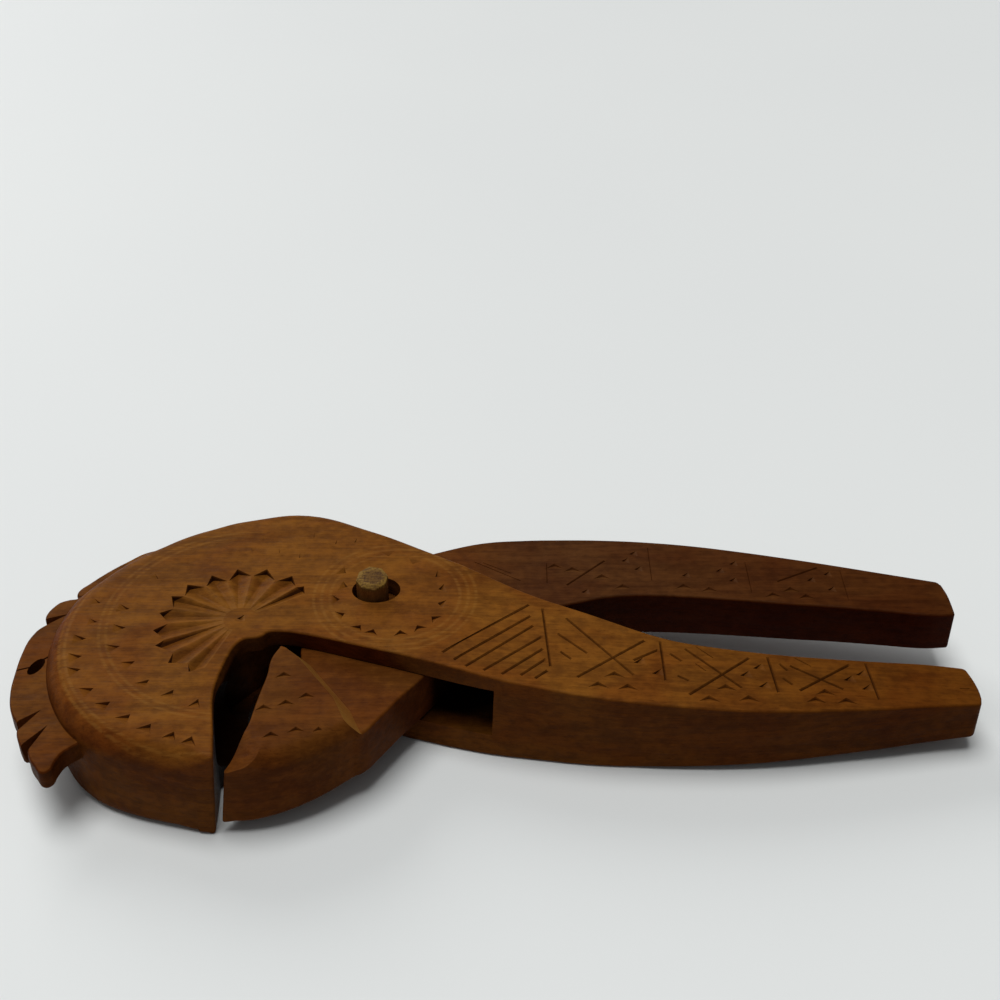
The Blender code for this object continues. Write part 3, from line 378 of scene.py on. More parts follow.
class NutcrackerSizes(bpy.types.PropertyGroup):
    """Heights, roundings and carving depths that a user may change"""

    thickness: length_property("Plank thickness", 0.0224, "Height of the head lever")
    grip_drop: length_property("Front handle drop", 0.0086, "How much lower its top is at its tip")
    grip_lift: length_property("Front handle lift", 0.0040, "How much higher its underside is at its tip")
    slot_low: length_property("Slot floor", 0.0060, "Height of the slot's floor")
    slot_high: length_property("Slot roof", 0.0183, "Height of the slot's roof")
    tongue_low: length_property("Tongue underside", 0.0063, "Height of the jaw lever's underside")
    tongue_high: length_property("Tongue top", 0.0180, "Height of the jaw lever's top")
    jaw_low: length_property("Jaw underside", 0.0031, "Height of the jaw's underside at the lip")
    jaw_high: length_property("Jaw top", 0.0212, "Height of the jaw's top")
    edge_round: length_property("Edge rounding", 0.0006, "Rounding of the plain edges")
    rosette_depth: length_property("Rosette depth", 0.0012, "Depth of the flutes at their outer ends")
    stab_depth: length_property("Stab depth", 0.0007, "Depth of the three-cornered stabs")
    stroke_width: length_property("Stroke width", 0.0007, "Width of the knife strokes")
    stroke_depth: length_property("Stroke depth", 0.0005, "Depth of the knife strokes")
    peg_radius: length_property("Peg radius", 0.0036, "Radius of the peg's corners")
    peg_top: length_property("Peg top", 0.0263, "Height of the peg's top")


class NutcrackerFinish(bpy.types.PropertyGroup):
    """Colours of the wood, the cuts and the stage"""

    # Tops take the top colours and walls the side colours: the walls are darker and redder, partly the wood's
    # own tone and partly painted shade
    top_light: colour_property("Worn top", (0.192, 0.070, 0.0085), "Light grain on upper faces")
    top_dark: colour_property("Waxed top", (0.104, 0.036, 0.005), "Dark grain on upper faces")
    side_light: colour_property("Side light", (0.124, 0.0395, 0.0057), "Light grain on walls")
    side_dark: colour_property("Side dark", (0.070, 0.0222, 0.0044), "Dark grain on walls")
    rear_top_light: colour_property("Rear top light", (0.080, 0.029, 0.0075), "Light grain on the rear handle")
    rear_top_dark: colour_property("Rear top dark", (0.046, 0.0155, 0.0042), "Dark grain on the rear handle")
    rear_side_light: colour_property("Rear side light", (0.058, 0.0115, 0.0022), "Light grain on its walls")
    rear_side_dark: colour_property("Rear side dark", (0.033, 0.0063, 0.0014), "Dark grain on its walls")
    # The line colour also paints light on the jaw's whittled step and highlights on the cuts' ridges
    line_and_highlight: colour_property("Scribed line", (0.26, 0.12, 0.024), "Light wood in the compass lines")
    # Dark wax and painted shade in the cuts, strongest on their steep walls
    cut_wax_and_shade: colour_property("Cut dirt", (0.018, 0.005, 0.002), "Dark wax in the bottom of the cuts")
    peg_light: colour_property("Peg light", (0.215, 0.120, 0.022), "Pale end grain of the peg")
    peg_dark: colour_property("Peg dark", (0.105, 0.052, 0.013), "Dark end grain of the peg")
    peg_side: colour_property("Peg side", (0.140, 0.050, 0.010), "Handled wood below the peg's crown")
    floor: colour_property("Floor", (0.74, 0.76, 0.75), "Plain pale floor")
    floor_shade: colour_property("Floor shade", (0.70, 0.72, 0.72), "Faint patches in the floor")


def size_of(key):
    """A size in millimetres."""
    return getattr(bpy.context.scene.nutcracker_sizes, key) * 1000.0


def colour_of(key):
    return tuple(getattr(bpy.context.scene.nutcracker_finish, key))


def add_object(name, data):
    made = bpy.data.objects.new(name, data)
    bpy.context.scene.collection.objects.link(made)
    return made


def finished_mesh(made):
    """An object's mesh with its modifiers applied."""
    bpy.context.view_layer.update()
    return bpy.data.meshes.new_from_object(made.evaluated_get(bpy.context.evaluated_depsgraph_get()))


def on_circle(middle, radius, degrees):
    angle = math.radians(degrees)
    return (middle[0] + radius * math.cos(angle), middle[1] + radius * math.sin(angle))


def away_from(middle, point):
    """The direction in which a point lies from a middle."""
    return math.degrees(math.atan2(point[1] - middle[1], point[0] - middle[0]))


def soft(points):
    """Outline knots that the edge runs through smoothly."""
    return [(Vector((x, y, 0.0)), None) for x, y in points]


def sharp(points, width=CORNER_WIDTH):
    """Outline knots where the edge turns a corner, which is rounded over this width on either side."""
    return [(Vector((x, y, 0.0)), width) for x, y in points]


def between_corners(points, first_width, last_width):
    """A smooth stretch of outline with a rounded corner at either end."""
    return sharp(points[:1], first_width) + soft(points[1:-1]) + sharp(points[-1:], last_width)


def curve_points(knots):
    """The Bezier points of an outline: one for a smooth knot, and two for a rounded corner."""
    points = []
    for number, (place, width) in enumerate(knots):
        if width is None:
            points.append((place, "AUTO", None, None))
            continue
        before = knots[number - 1][0] - place
        after = knots[(number + 1) % len(knots)][0] - place
        width = min(width, 0.4 * before.length, 0.4 * after.length)
        first = before.normalized() * width
        second = after.normalized() * width
        points.append((place + first, "FREE", place + first * 1.5, place + first * 0.45))
        points.append((place + second, "FREE", place + second * 0.45, place + second * 1.5))
    return points


def loop_along(knots):
    """A closed loop of edges that runs smoothly through an outline's knots."""
    curve = bpy.data.curves.new("outline", "CURVE")
    curve.dimensions = "2D"
    curve.fill_mode = "NONE"
    curve.resolution_u = 6
    spline = curve.splines.new("BEZIER")
    spline.use_cyclic_u = True
    points = curve_points(knots)
    spline.bezier_points.add(len(points) - 1)
    for knot, (place, kind, left, right) in zip(spline.bezier_points, points):
        knot.co = place
        knot.handle_left_type = kind
        knot.handle_right_type = kind
        if kind == "FREE":
            knot.handle_left = left
            knot.handle_right = right
    drawn = add_object("outline", curve)
    mesh = finished_mesh(drawn)
    bm = bmesh.new()
    bm.from_mesh(mesh)
    bpy.data.objects.remove(drawn)
    bpy.data.meshes.remove(mesh)
    bmesh.ops.remove_doubles(bm, verts=bm.verts, dist=0.02)
    return bm


def flat_plank(knots, low, high):
    """A plank with square edges, from an outline and two heights."""
    bm = loop_along(knots)
    face = bmesh.ops.contextual_create(bm, geom=bm.edges)["faces"][0]
    bmesh.ops.translate(bm, vec=(0.0, 0.0, low), verts=bm.verts)
    grown = bmesh.ops.extrude_face_region(bm, geom=[face])
    raised = [item for item in grown["geom"] if isinstance(item, bmesh.types.BMVert)]
    bmesh.ops.translate(bm, vec=(0.0, 0.0, high - low), verts=raised)
    bmesh.ops.recalc_face_normals(bm, faces=bm.faces)
    return bm


def widest_insets(rim, inward):
    """How far each rim point can be drawn in before it meets another stretch of the rim."""
    widest = []
    for point, direction in zip(rim, inward):
        limit = 20.0
        for other in rim:
            gap = other - point
            ahead = gap.dot(direction.normalized())
            if ahead > 0.0001:
                limit = min(limit, 0.4 * gap.length_squared / ahead)
        widest.append(limit)
    for direction in (1, -1):
        for number in list(range(len(rim)))[::direction] * 2:
            beside = (number - direction) % len(rim)
            reach = widest[beside] + 0.6 * (rim[number] - rim[beside]).length
            widest[number] = min(widest[number], reach)
    return widest


def round_rim(bm, is_upper, rim_at, steps):
    """Rounds the rim of a plank's upper or lower face, in rings.

    rim_at gives the rounding at each place: how far it reaches in, how far down, and the angle at which it
    leaves the wall, where 0 is a full quarter round and more leaves a crisp edge.
    """
    sign = 1.0 if is_upper else -1.0
    face = max(bm.faces, key=lambda candidate: sign * candidate.calc_center_median().z)
    rim = [vert.co.copy() for vert in face.verts]
    inward = []
    for number, point in enumerate(rim):
        before = (point - rim[number - 1]).normalized()
        after = (rim[(number + 1) % len(rim)] - point).normalized()
        first = Vector((-before.y, before.x, 0.0)) * sign
        second = Vector((-after.y, after.x, 0.0)) * sign
        inward.append((first + second) / (1.0 + first.dot(second)))
    rounding = []
    for point, widest in zip(rim, widest_insets(rim, inward)):
        reach, drop, start = rim_at(point.x, point.y)
        share = min(1.0, widest / reach)
        rounding.append((reach * share, drop * share, start * share))
    for step in range(steps + 1):
        if step > 0:
            face = bmesh.ops.extrude_discrete_faces(bm, faces=[face])["faces"][0]
        for vert, point, direction, (reach, drop, start) in zip(face.verts, rim, inward, rounding):
            first = math.radians(start)
            angle = first + (math.pi / 2.0 - first) * step / steps
            inset = reach * (math.cos(first) - math.cos(angle)) / math.cos(first)
            fall = drop * (1.0 - math.sin(angle)) / (1.0 - math.sin(first))
            vert.co = point + direction * inset - Vector((0.0, 0.0, sign * fall))


def plank(knots, low, high, upper_rim, lower_rim, upper_steps=4, lower_steps=4):
    bm = flat_plank(knots, low, high)
    round_rim(bm, True, upper_rim, upper_steps)
    round_rim(bm, False, lower_rim, lower_steps)
    return bm


def even_rim(reach):
    """A quarter round of the same size all along a rim."""
    return lambda x, y: (reach, reach, 0.0)


def cut_through(bm, place, outward, clear_outer=False):
    """Adds edges where a plane crosses a plank, and may take away what lies beyond it."""
    geometry = bm.verts[:] + bm.edges[:] + bm.faces[:]
    return bmesh.ops.bisect_plane(
        bm, geom=geometry, plane_co=place, plane_no=outward, clear_outer=clear_outer, dist=0.001
    )


def cut_across(bm, x):
    """Adds edges across a plank, so that it can bend there."""
    cut_through(bm, (x, 0.0, 0.0), (1.0, 0.0, 0.0))


def slice_off(bm, place, outward):
    """Takes a flat whittled facet off a plank, through a place and facing outward."""
    sliced = cut_through(bm, place, outward, clear_outer=True)["geom_cut"]
    bmesh.ops.holes_fill(bm, edges=[item for item in sliced if isinstance(item, bmesh.types.BMEdge)])
    bmesh.ops.recalc_face_normals(bm, faces=bm.faces)


def share_along(x, start, end):
    return min(1.0, max(0.0, (x - start) / (end - start)))


def blend_along(x, stops):
    """A value read along a list of (x, value) stops."""
    for (first_x, first), (second_x, second) in zip(stops, stops[1:]):
        if x <= second_x:
            return first + (second - first) * share_along(x, first_x, second_x)
    return stops[-1][1]


def head_angle(x, y):
    return math.degrees(math.atan2(y - HEAD_MIDDLE[1], x - HEAD_MIDDLE[0])) % 360.0


def head_reach(x, y):
    return math.hypot(x - HEAD_MIDDLE[0], y - HEAD_MIDDLE[1])


def place_in_scene(name, bm):
    """Puts a mesh in the scene, with one slot for plain wood and one for carved wood."""
    mesh = bpy.data.meshes.new(name)
    bm.to_mesh(mesh)
    bm.free()
    for slot in (WOOD, CARVED):
        mesh.materials.append(None)
    return add_object(name, mesh)


def combine(piece, name, bm, operation):
    """Joins a shape to a piece or cuts it away, and marks what it leaves as carved."""
    bmesh.ops.recalc_face_normals(bm, faces=bm.faces)
    for face in bm.faces:
        face.material_index = CARVED
    other = place_in_scene(name, bm)
    modifier = piece.modifiers.new("shape", "BOOLEAN")
    modifier.operation = operation
    modifier.solver = "EXACT"
    modifier.object = other
    mesh = finished_mesh(piece)
    piece.modifiers.clear()
    old = piece.data
    piece.data = mesh
    bpy.data.meshes.remove(old)
    bpy.data.objects.remove(other)
    if len(mesh.polygons) == 0:
        raise RuntimeError("A cut left nothing of " + piece.name)


def join(piece, name, bm):
    combine(piece, name, bm, "UNION")


def cut(piece, name, bm):
    combine(piece, name, bm, "DIFFERENCE")


def forget_cuts(piece):
    """Counts the shaping so far as plain wood, so that only what follows is marked as carved."""
    for face in piece.data.polygons:
        face.material_index = WOOD


def pyramid(bm, corners, bottom):
    """A pyramid cutter: flat corners at the surface, and a point below it."""
    made = bmesh.ops.create_cone(bm, cap_ends=True, segments=len(corners), radius1=1.0, radius2=0.0, depth=1.0)
    verts = sorted(made["verts"], key=lambda vert: vert.co.z)
    base = sorted(verts[:-1], key=lambda vert: math.atan2(vert.co.y, vert.co.x))
    for vert, corner in zip(base, corners):
        vert.co = Vector(corner)
    verts[-1].co = Vector(bottom)


def add_stab(bm, point, direction, length, spread, depth, top):
    """A three-cornered stab: deepest just inside its point, its floor rising the way it faces."""
    angle = math.radians(direction)
    side = math.radians(spread)
    reach = Vector((math.cos(angle), math.sin(angle))) * length * 0.16
    corners = [point]
    for turn in (-side, side):
        wing = angle + turn
        corners.append((point[0] + length * math.cos(wing), point[1] + length * math.sin(wing)))
    raised = [(x, y, top(x) + START_ABOVE) for x, y in corners]
    low = (point[0] + reach.x, point[1] + reach.y)
    pyramid(bm, raised, (low[0], low[1], top(low[0]) - depth))


def stabs(rows, top, bm=None):
    """Cutters for rows of like stabs, which may be added to others."""
    bm = bmesh.new() if bm is None else bm
    depth = size_of("stab_depth")
    for points, facing, length, spread, share in rows:
        for point in points:
            direction = away_from(facing, point) if isinstance(facing, tuple) else facing
            add_stab(bm, point, direction, length, spread, depth * share, top)
    return bm


def add_flute(bm, middle, left, tip, right, depth, top):
    """A rosette flute: a long hollow that ends in a pointed arch with steep walls."""
    bottom = middle.lerp(tip, 0.965)
    hub_right = middle + (right - middle).normalized() * ROSETTE_HUB
    hub_left = middle + (left - middle).normalized() * ROSETTE_HUB
    corners = (hub_left, hub_right, right, tip, left)
    raised = [(place.x, place.y, top(place.x) + START_ABOVE) for place in corners]
    pyramid(bm, raised, (bottom.x, bottom.y, top(bottom.x) - depth))


def add_stroke(bm, start, end, width, depth, top):
    """A knife stroke with a V section, which runs out at both ends."""
    first = Vector((start[0], start[1], top(start[0]) + START_ABOVE))
    last = Vector((end[0], end[1], top(end[0]) + START_ABOVE))
    run = last - first
    made = bmesh.ops.create_cone(bm, cap_ends=True, segments=4, radius1=1.0, radius2=1.0, depth=run.length)
    for vert in made["verts"]:
        is_lowest = abs(vert.co.x) > 0.5 and vert.co.x < 0.0
        vert.co.x *= depth
        vert.co.y *= width / 2.0
        if is_lowest:
            vert.co.z *= 1.0 - min(0.5, 2.0 * depth / run.length)
    turn = run.to_track_quat("Z", "X").to_matrix().to_4x4()
    bmesh.ops.transform(bm, matrix=Matrix.Translation((first + last) / 2.0) @ turn, verts=made["verts"])


def strokes(lines, share, top):
    """Cutters for knife strokes, all of one width and depth."""
    bm = bmesh.new()
    for start, end in lines:
        add_stroke(bm, start, end, size_of("stroke_width") * share, size_of("stroke_depth") * share, top)
    return bm


def bore(radii, middle, low, high, sides=32, turn=0.0):
    """An upright round or oval cutter."""
    bm = bmesh.new()
    bmesh.ops.create_cone(bm, cap_ends=True, segments=sides, radius1=1.0, radius2=1.0, depth=high - low)
    stretch = Matrix.Rotation(math.radians(turn), 4, "Z") @ Matrix.Diagonal((radii[0], radii[1], 1.0, 1.0))
    shift = Matrix.Translation((middle[0], middle[1], (low + high) / 2.0))
    bmesh.ops.transform(bm, matrix=shift @ stretch, verts=bm.verts)
    return bm


def peg_bore(low, high):
    return bore((BORE_RADIUS, BORE_RADIUS), (0.0, 0.0), low, high)


def ball(radius, place):
    bm = bmesh.new()
    bmesh.ops.create_uvsphere(bm, u_segments=48, v_segments=24, radius=radius)
    bmesh.ops.translate(bm, vec=place, verts=bm.verts)
    return bm


def flatten_facets(bm):
    """Triangulates a plank before it is carved, so that its rounded faces stay true."""
    bmesh.ops.triangulate(bm, faces=bm.faces, quad_method="SHORT_EDGE", ngon_method="BEAUTY")


def mark_cuts(piece, top):
    """Stores how deep each carved corner lies, and which faces are carved, for the wood's colours."""
    mesh = piece.data
    depth = mesh.attributes.new("cut_depth", "FLOAT", "POINT")
    for face in mesh.polygons:
        if face.material_index == CARVED:
            for number in face.vertices:
                place = mesh.vertices[number].co
                depth.data[number].value = max(0.0, top(place.x) - place.z)
    fresh = mesh.attributes.new("cut_face", "FLOAT", "FACE")
    for face in mesh.polygons:
        fresh.data[face.index].value = float(face.material_index == CARVED)
        face.material_index = WOOD
    mesh.materials.pop(index=CARVED)


def finish_piece(piece, material, body, node):
    """Brings a piece to the frame, smooths its shading and gives it its wood, body and place.

    An edge is crisp where its faces meet at more than an angle: a wide one in plain wood, almost none where a
    cut meets plain wood, and a small one inside a cut.
    """
    mesh = piece.data
    bm = bmesh.new()
    bm.from_mesh(mesh)
    bmesh.ops.remove_doubles(bm, verts=bm.verts, dist=SMALLEST_GAP)
    bmesh.ops.dissolve_degenerate(bm, edges=bm.edges, dist=SMALLEST_GAP)
    bmesh.ops.triangulate(bm, faces=[face for face in bm.faces if len(face.verts) > 4])
    for face in bm.faces:
        face.smooth = True
    fresh = bm.faces.layers.float["cut_face"]
    for edge in bm.edges:
        carved = sum(face[fresh] for face in edge.link_faces)
        widest = (28.0, 0.3, 6.0)[int(carved)]
        edge.smooth = edge.calc_face_angle(0.0) < math.radians(widest)
    bm.to_mesh(mesh)
    bm.free()
    mesh.transform(TO_FRAME)
    mesh.materials.clear()
    mesh.materials.append(material)
    weighted = piece.modifiers.new("even shading", "WEIGHTED_NORMAL")
    weighted.keep_sharp = True
    weighted.weight = 100
    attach(piece, body)
    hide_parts(node)


def head_top(x):
    """Height of the head lever's top at a given x."""
    return size_of("thickness") - size_of("grip_drop") * max(0.0, (x - GRIP_FALL_START) / GRIP_FALL_RUN)


def rear_top(x):
    """Height of the jaw lever's top at a given x."""
    return size_of("tongue_high") - REAR_FALL * max(0.0, (x - REAR_BEND) / REAR_RUN)


def head_knots():
    """The head lever's outline from the nape. The head is broader where it carries the crest."""
    knots = soft(NAPE)
    last = 360.0 - math.degrees(math.acos((LIP[0] - HEAD_MIDDLE[0]) / HEAD_RADIUS)) - CHEEK_SHORT_OF_LIP
    for step in range(STEPS_ROUND_CHEEK + 1):
        degrees = CHEEK_FROM + (last - CHEEK_FROM) * step / STEPS_ROUND_CHEEK
        radius = HEAD_RADIUS + blend_along(degrees, CHEEK_GROWTH)
        knots += soft([on_circle(HEAD_MIDDLE, radius, degrees)])
    knots += sharp([LIP]) + soft(MOUTH) + sharp(MOUTH_END[:2]) + soft(MOUTH_END[2:])
    knots += soft(NECK_FRONT + FRONT_GRIP_FRONT)
    return knots + between_corners(FRONT_GRIP_TIP, 0.9, 0.9) + soft(FRONT_GRIP_BACK)


def has_plain_edge(x, y):
    """Whether the head lever's rim is that of the mouth, the neck's front or the handle."""
    is_cheek = head_reach(x, y) > HEAD_RADIUS - 1.2 and x < LIP[0] + 0.6
    return y < 0.0 and not is_cheek or x > BACK_EDGE_ENDS[1]


def head_rim(x, y):
    """The head lever's upper rounding: a broad worn slope round the cheek, and small on the rest."""
    plain = size_of("edge_round")
    if has_plain_edge(x, y):
        return plain, plain, 0.0
    if y < 0.0 or x < HEAD_MIDDLE[0]:
        angle = head_angle(x, y)
        return tuple(blend_along(angle, stops) for stops in (CHEEK_REACH, CHEEK_DROP, CHEEK_START))
    reach = BACK_EDGE + (plain - BACK_EDGE) * share_along(x, *BACK_EDGE_ENDS)
    return reach, reach, 0.0


def head_under_rim(x, y):
    """The head lever's lower rounding: full round the head, and small at the lip and on the rest."""
    plain = 1.4 * size_of("edge_round")
    if has_plain_edge(x, y):
        return plain, plain, 0.0
    fade = share_along(x, *BACK_EDGE_ENDS)
    lip = share_along(head_angle(x, y), *UNDER_EDGE_FADE) if y < 0.0 else 0.0
    reach = UNDER_EDGE + (plain - UNDER_EDGE) * max(fade, lip)
    return reach, reach, 0.0


def lean_head_walls(bm):
    """Thins the front handle towards its tip, and leans the walls of the mouth and the neck."""
    thickness, lift = size_of("thickness"), size_of("grip_lift")
    for vert in bm.verts:
        x, y, z = vert.co
        if z > thickness / 2.0:
            vert.co.z -= thickness - head_top(x)
            continue
        if MOUTH_WALL_ENDS[0] < x < MOUTH_WALL_ENDS[1] and y < MOUTH_WALL_BACK:
            vert.co.x += blend_along(-y, MOUTH_LEAN)
            continue
        vert.co.z += lift * max(0.0, (x - GRIP_LIFT_START) / GRIP_LIFT_RUN)
        is_front = y < blend_along(x, GRIP_FRONT_HALF)
        if is_front or x < NECK_WALL_END and y < NECK_WALL_BACK:
            vert.co.y -= blend_along(x, NECK_LEAN)


def crest():
    """The scalloped crest, closed through the inside of the head."""
    knots = []
    for lobe in CREST_LOBES:
        knots += between_corners(lobe, 0.5, 0.5)
    knots += sharp(CREST_ROOT)
    bm = plank(knots, CREST_LOW, CREST_HIGH, even_rim(0.7), even_rim(0.9), 3, 3)
    flatten_facets(bm)
    return bm


def crest_cuts():
    """The cuts between the crest's lobes, which widen outwards."""
    bm = bmesh.new()
    for inner, outer, width, depth in CREST_CUTS:
        along = Vector(outer) - Vector(inner)
        across = Vector((-along.y, along.x)).normalized() * width / 2.0
        corners = (Vector(inner), Vector(outer) - across, Vector(outer) + across)
        raised = [(corner.x, corner.y, CREST_CLEAR) for corner in corners]
        pyramid(bm, raised, (outer[0], outer[1], CREST_HIGH - depth))
    return bm


def slot_hollow():
    """The slot: its left wall is where the tongue's back edge stops when the jaws are open."""
    turn = Matrix.Rotation(math.radians(OPEN_ANGLE), 2)
    upper, lower = (turn @ Vector(point) for point in TONGUE_STOP)
    along = (upper - lower).normalized()
    outward = Vector((-along.y, along.x)) * SLOT_GAP
    wall_top = upper + along * SLOT_BEYOND + outward
    wall_foot = lower - along * SLOT_BEYOND + outward
    front, back = Vector(SLOT_FRONT), Vector(SLOT_BACK)
    mouth = front - (back - front).normalized() * SLOT_MOUTH
    far = (back + Vector(SLOT_FLARE), Vector((SLOT_END, wall_top.y)))
    knots = sharp([tuple(corner) for corner in (wall_top, wall_foot, mouth, front, back, *far)], 0.0)
    return flat_plank(knots, size_of("slot_low"), size_of("slot_high"))


def rosette():
    """The rosette's flutes, and the small stab at its hub."""
    bm = bmesh.new()
    depth = size_of("rosette_depth")
    middle = Vector(ROSETTE_MIDDLE)
    for number, tip in enumerate(ROSETTE_TIPS):
        right, left = (Vector(notch) for notch in ROSETTE_NOTCHES[number : number + 2])
        add_flute(bm, middle, left.lerp(right, 0.02), Vector(tip), right.lerp(left, 0.02), depth, head_top)
    add_stab(bm, ROSETTE_STAB, 8.0, 2.2, 32.0, 0.45 * depth, head_top)
    return bm


def head_stabs():
    """The stabs round the rosette and the peg. The outer ones start small and spread more towards the mouth."""
    bm = bmesh.new()
    depth = size_of("stab_depth")
    for number, point in enumerate(OUTER_STABS):
        length, share = (2.5, 0.6) if number < 2 else (3.4, 1.0)
        direction = away_from(ROSETTE_MIDDLE, point) - 6.0
        add_stab(bm, point, direction, length, 26.0 + number, depth * share, head_top)
    return stabs(HEAD_STAB_ROWS, head_top, bm)


def make_head_lever():
    """The head with its crest, the neck with its slot, and the front handle."""
    bm = plank(head_knots(), 0.0, size_of("thickness"), head_rim, head_under_rim, 6)
    cut_across(bm, GRIP_FALL_START)
    cut_across(bm, GRIP_LIFT_START)
    lean_head_walls(bm)
    flatten_facets(bm)
    piece = place_in_scene("carved_head", bm)
    join(piece, "crest", crest())
    cut(piece, "slot", slot_hollow())
    low, high = size_of("slot_low"), size_of("slot_high")
    cut(piece, "lower_bore", peg_bore(-BORE_BEYOND, low + BORE_BEYOND))
    cut(piece, "worn_bore", bore(WORN_BORE_RADII, WORN_BORE_MIDDLE, high - BORE_BEYOND, WORN_BORE_TOP, 48))
    cut(piece, "hollow", ball(*HEAD_HOLLOW))
    cut(piece, "crest_hole", bore(CREST_HOLE_RADII, CREST_HOLE_MIDDLE, *CREST_HOLE_ENDS, 16, CREST_HOLE_TURN))
    cut(piece, "crest_cuts", crest_cuts())
    forget_cuts(piece)
    cut(piece, "cracks", strokes(CREST_CRACKS, CRACK_SHARE, lambda x: CREST_HIGH))
    cut(piece, "rosette", rosette())
    cut(piece, "head_stabs", head_stabs())
    cut(piece, "grip_stabs", stabs(GRIP_STAB_ROWS, head_top))
    for name, lines, share in FRONT_STROKE_ROWS:
        cut(piece, name, strokes(lines, share, head_top))
    mark_cuts(piece, head_top)
    material = wood_material("waxed_wood", "", HEAD_TIPWARD_TINT, SCRIBED_LINES)
    finish_piece(piece, material, "head", "head_lever")


def tongue_knots():
    """The jaw lever's outline, anticlockwise from inside the jaw's rim."""
    knots = sharp([TONGUE_CORNER], 0.6) + soft(TONGUE_FRONT + REAR_GRIP_INNER)
    knots += between_corners(REAR_GRIP_TIP, 0.7, 0.9) + soft(REAR_GRIP_BACK)
    return knots + sharp(TONGUE_STOP) + soft(TONGUE_ROOT[:1]) + sharp(TONGUE_ROOT[1:])


def tongue_rim(x, y):
    """Small on the tongue and the inner edge, fuller along the rear handle's back."""
    reach = size_of("edge_round")
    if y > REAR_BACK:
        reach += REAR_BACK_EDGE * share_along(x, *REAR_BACK_EDGE_FADE)
    return reach, reach, 0.0


def tongue():
    """The flat tongue and the rear handle, which thins towards its tip."""
    low, high = size_of("tongue_low"), size_of("tongue_high")
    bm = plank(tongue_knots(), low, high, tongue_rim, tongue_rim)
    cut_across(bm, REAR_BEND)
    for vert in bm.verts:
        if vert.co.z > (low + high) / 2.0:
            vert.co.z -= high - rear_top(vert.co.x)
        else:
            vert.co.z += REAR_LIFT * max(0.0, (vert.co.x - REAR_BEND) / REAR_RUN)
    flatten_facets(bm)
    return bm


def jaw_knots():
    """The jaw's thick part, anticlockwise from its lip along the rim."""
    rim = [on_circle(HEAD_MIDDLE, HEAD_RADIUS, degrees) for degrees in JAW_RIM_ANGLES]
    knots = sharp([JAW_LIP]) + soft(rim) + soft(JAW_FLANK) + sharp(JAW_ROOT)
    knots += sharp(JAW_POINT[2:]) + sharp(JAW_POINT[1:2], 0.4) + soft(JAW_POINT[:1]) + soft(JAW_MOUTH[::-1])
    return knots


def jaw_rim(x, y):
    """A broad worn slope along the front and a small edge in the mouth."""
    if head_reach(x, y) > HEAD_RADIUS - 1.0 and y < JAW_SLOPE_BACK:
        angle = head_angle(x, y)
        return blend_along(angle, JAW_REACH), blend_along(angle, JAW_DROP), JAW_SLOPE_START
    plain = size_of("edge_round")
    return plain, plain, 0.0


def jaw():
    """The jaw's thick part: its lip leans like the mouth, and its underside rises towards the tongue."""
    low, high = size_of("jaw_low"), size_of("jaw_high")
    bm = plank(jaw_knots(), low, high, jaw_rim, even_rim(JAW_UNDER_EDGE), 6)
    for vert in bm.verts:
        if vert.co.z <= (low + high) / 2.0:
            vert.co.x -= JAW_LEAN * share_along(-vert.co.x, *JAW_LEAN_ENDS)
            vert.co.z += JAW_LIFT * max(0.0, (vert.co.x - JAW_LIFT_START) / JAW_LIFT_RUN)
    for place, outward in STEP_FACETS + (LIP_FACET,):
        slice_off(bm, place, outward)
    flatten_facets(bm)
    return bm


def mark_step(piece):
    """Stores which faces are the whittled step behind the jaw, where the wood's colours paint light."""
    step = piece.data.attributes.new("step_face", "FLOAT", "FACE")
    normals = [Vector(outward).normalized() for place, outward in STEP_FACETS]
    for face in piece.data.polygons:
        step.data[face.index].value = float(max(face.normal.dot(normal) for normal in normals) > 0.995)


def make_jaw_lever():
    """The lower jaw, its tongue and the rear handle."""
    piece = place_in_scene("carved_jaw", tongue())
    join(piece, "jaw", jaw())
    cut(piece, "bore", peg_bore(size_of("tongue_low") - BORE_BEYOND, size_of("tongue_high") + BORE_BEYOND))
    cut(piece, "hollow", ball(*JAW_HOLLOW))
    forget_cuts(piece)
    jaw_high = size_of("jaw_high")
    cut(piece, "stabs", stabs(REAR_STAB_ROWS, rear_top, stabs(JAW_STAB_ROWS, lambda x: jaw_high)))
    for name, lines, share in REAR_STROKE_ROWS:
        cut(piece, name, strokes(lines, share, rear_top))
    mark_cuts(piece, lambda x: jaw_high if x < JAW_END else rear_top(x))
    mark_step(piece)
    material = wood_material("waxed_wood_dark", "rear_", REAR_TIPWARD_TINT, has_step=True)
    finish_piece(piece, material, "jaw", "jaw_lever")


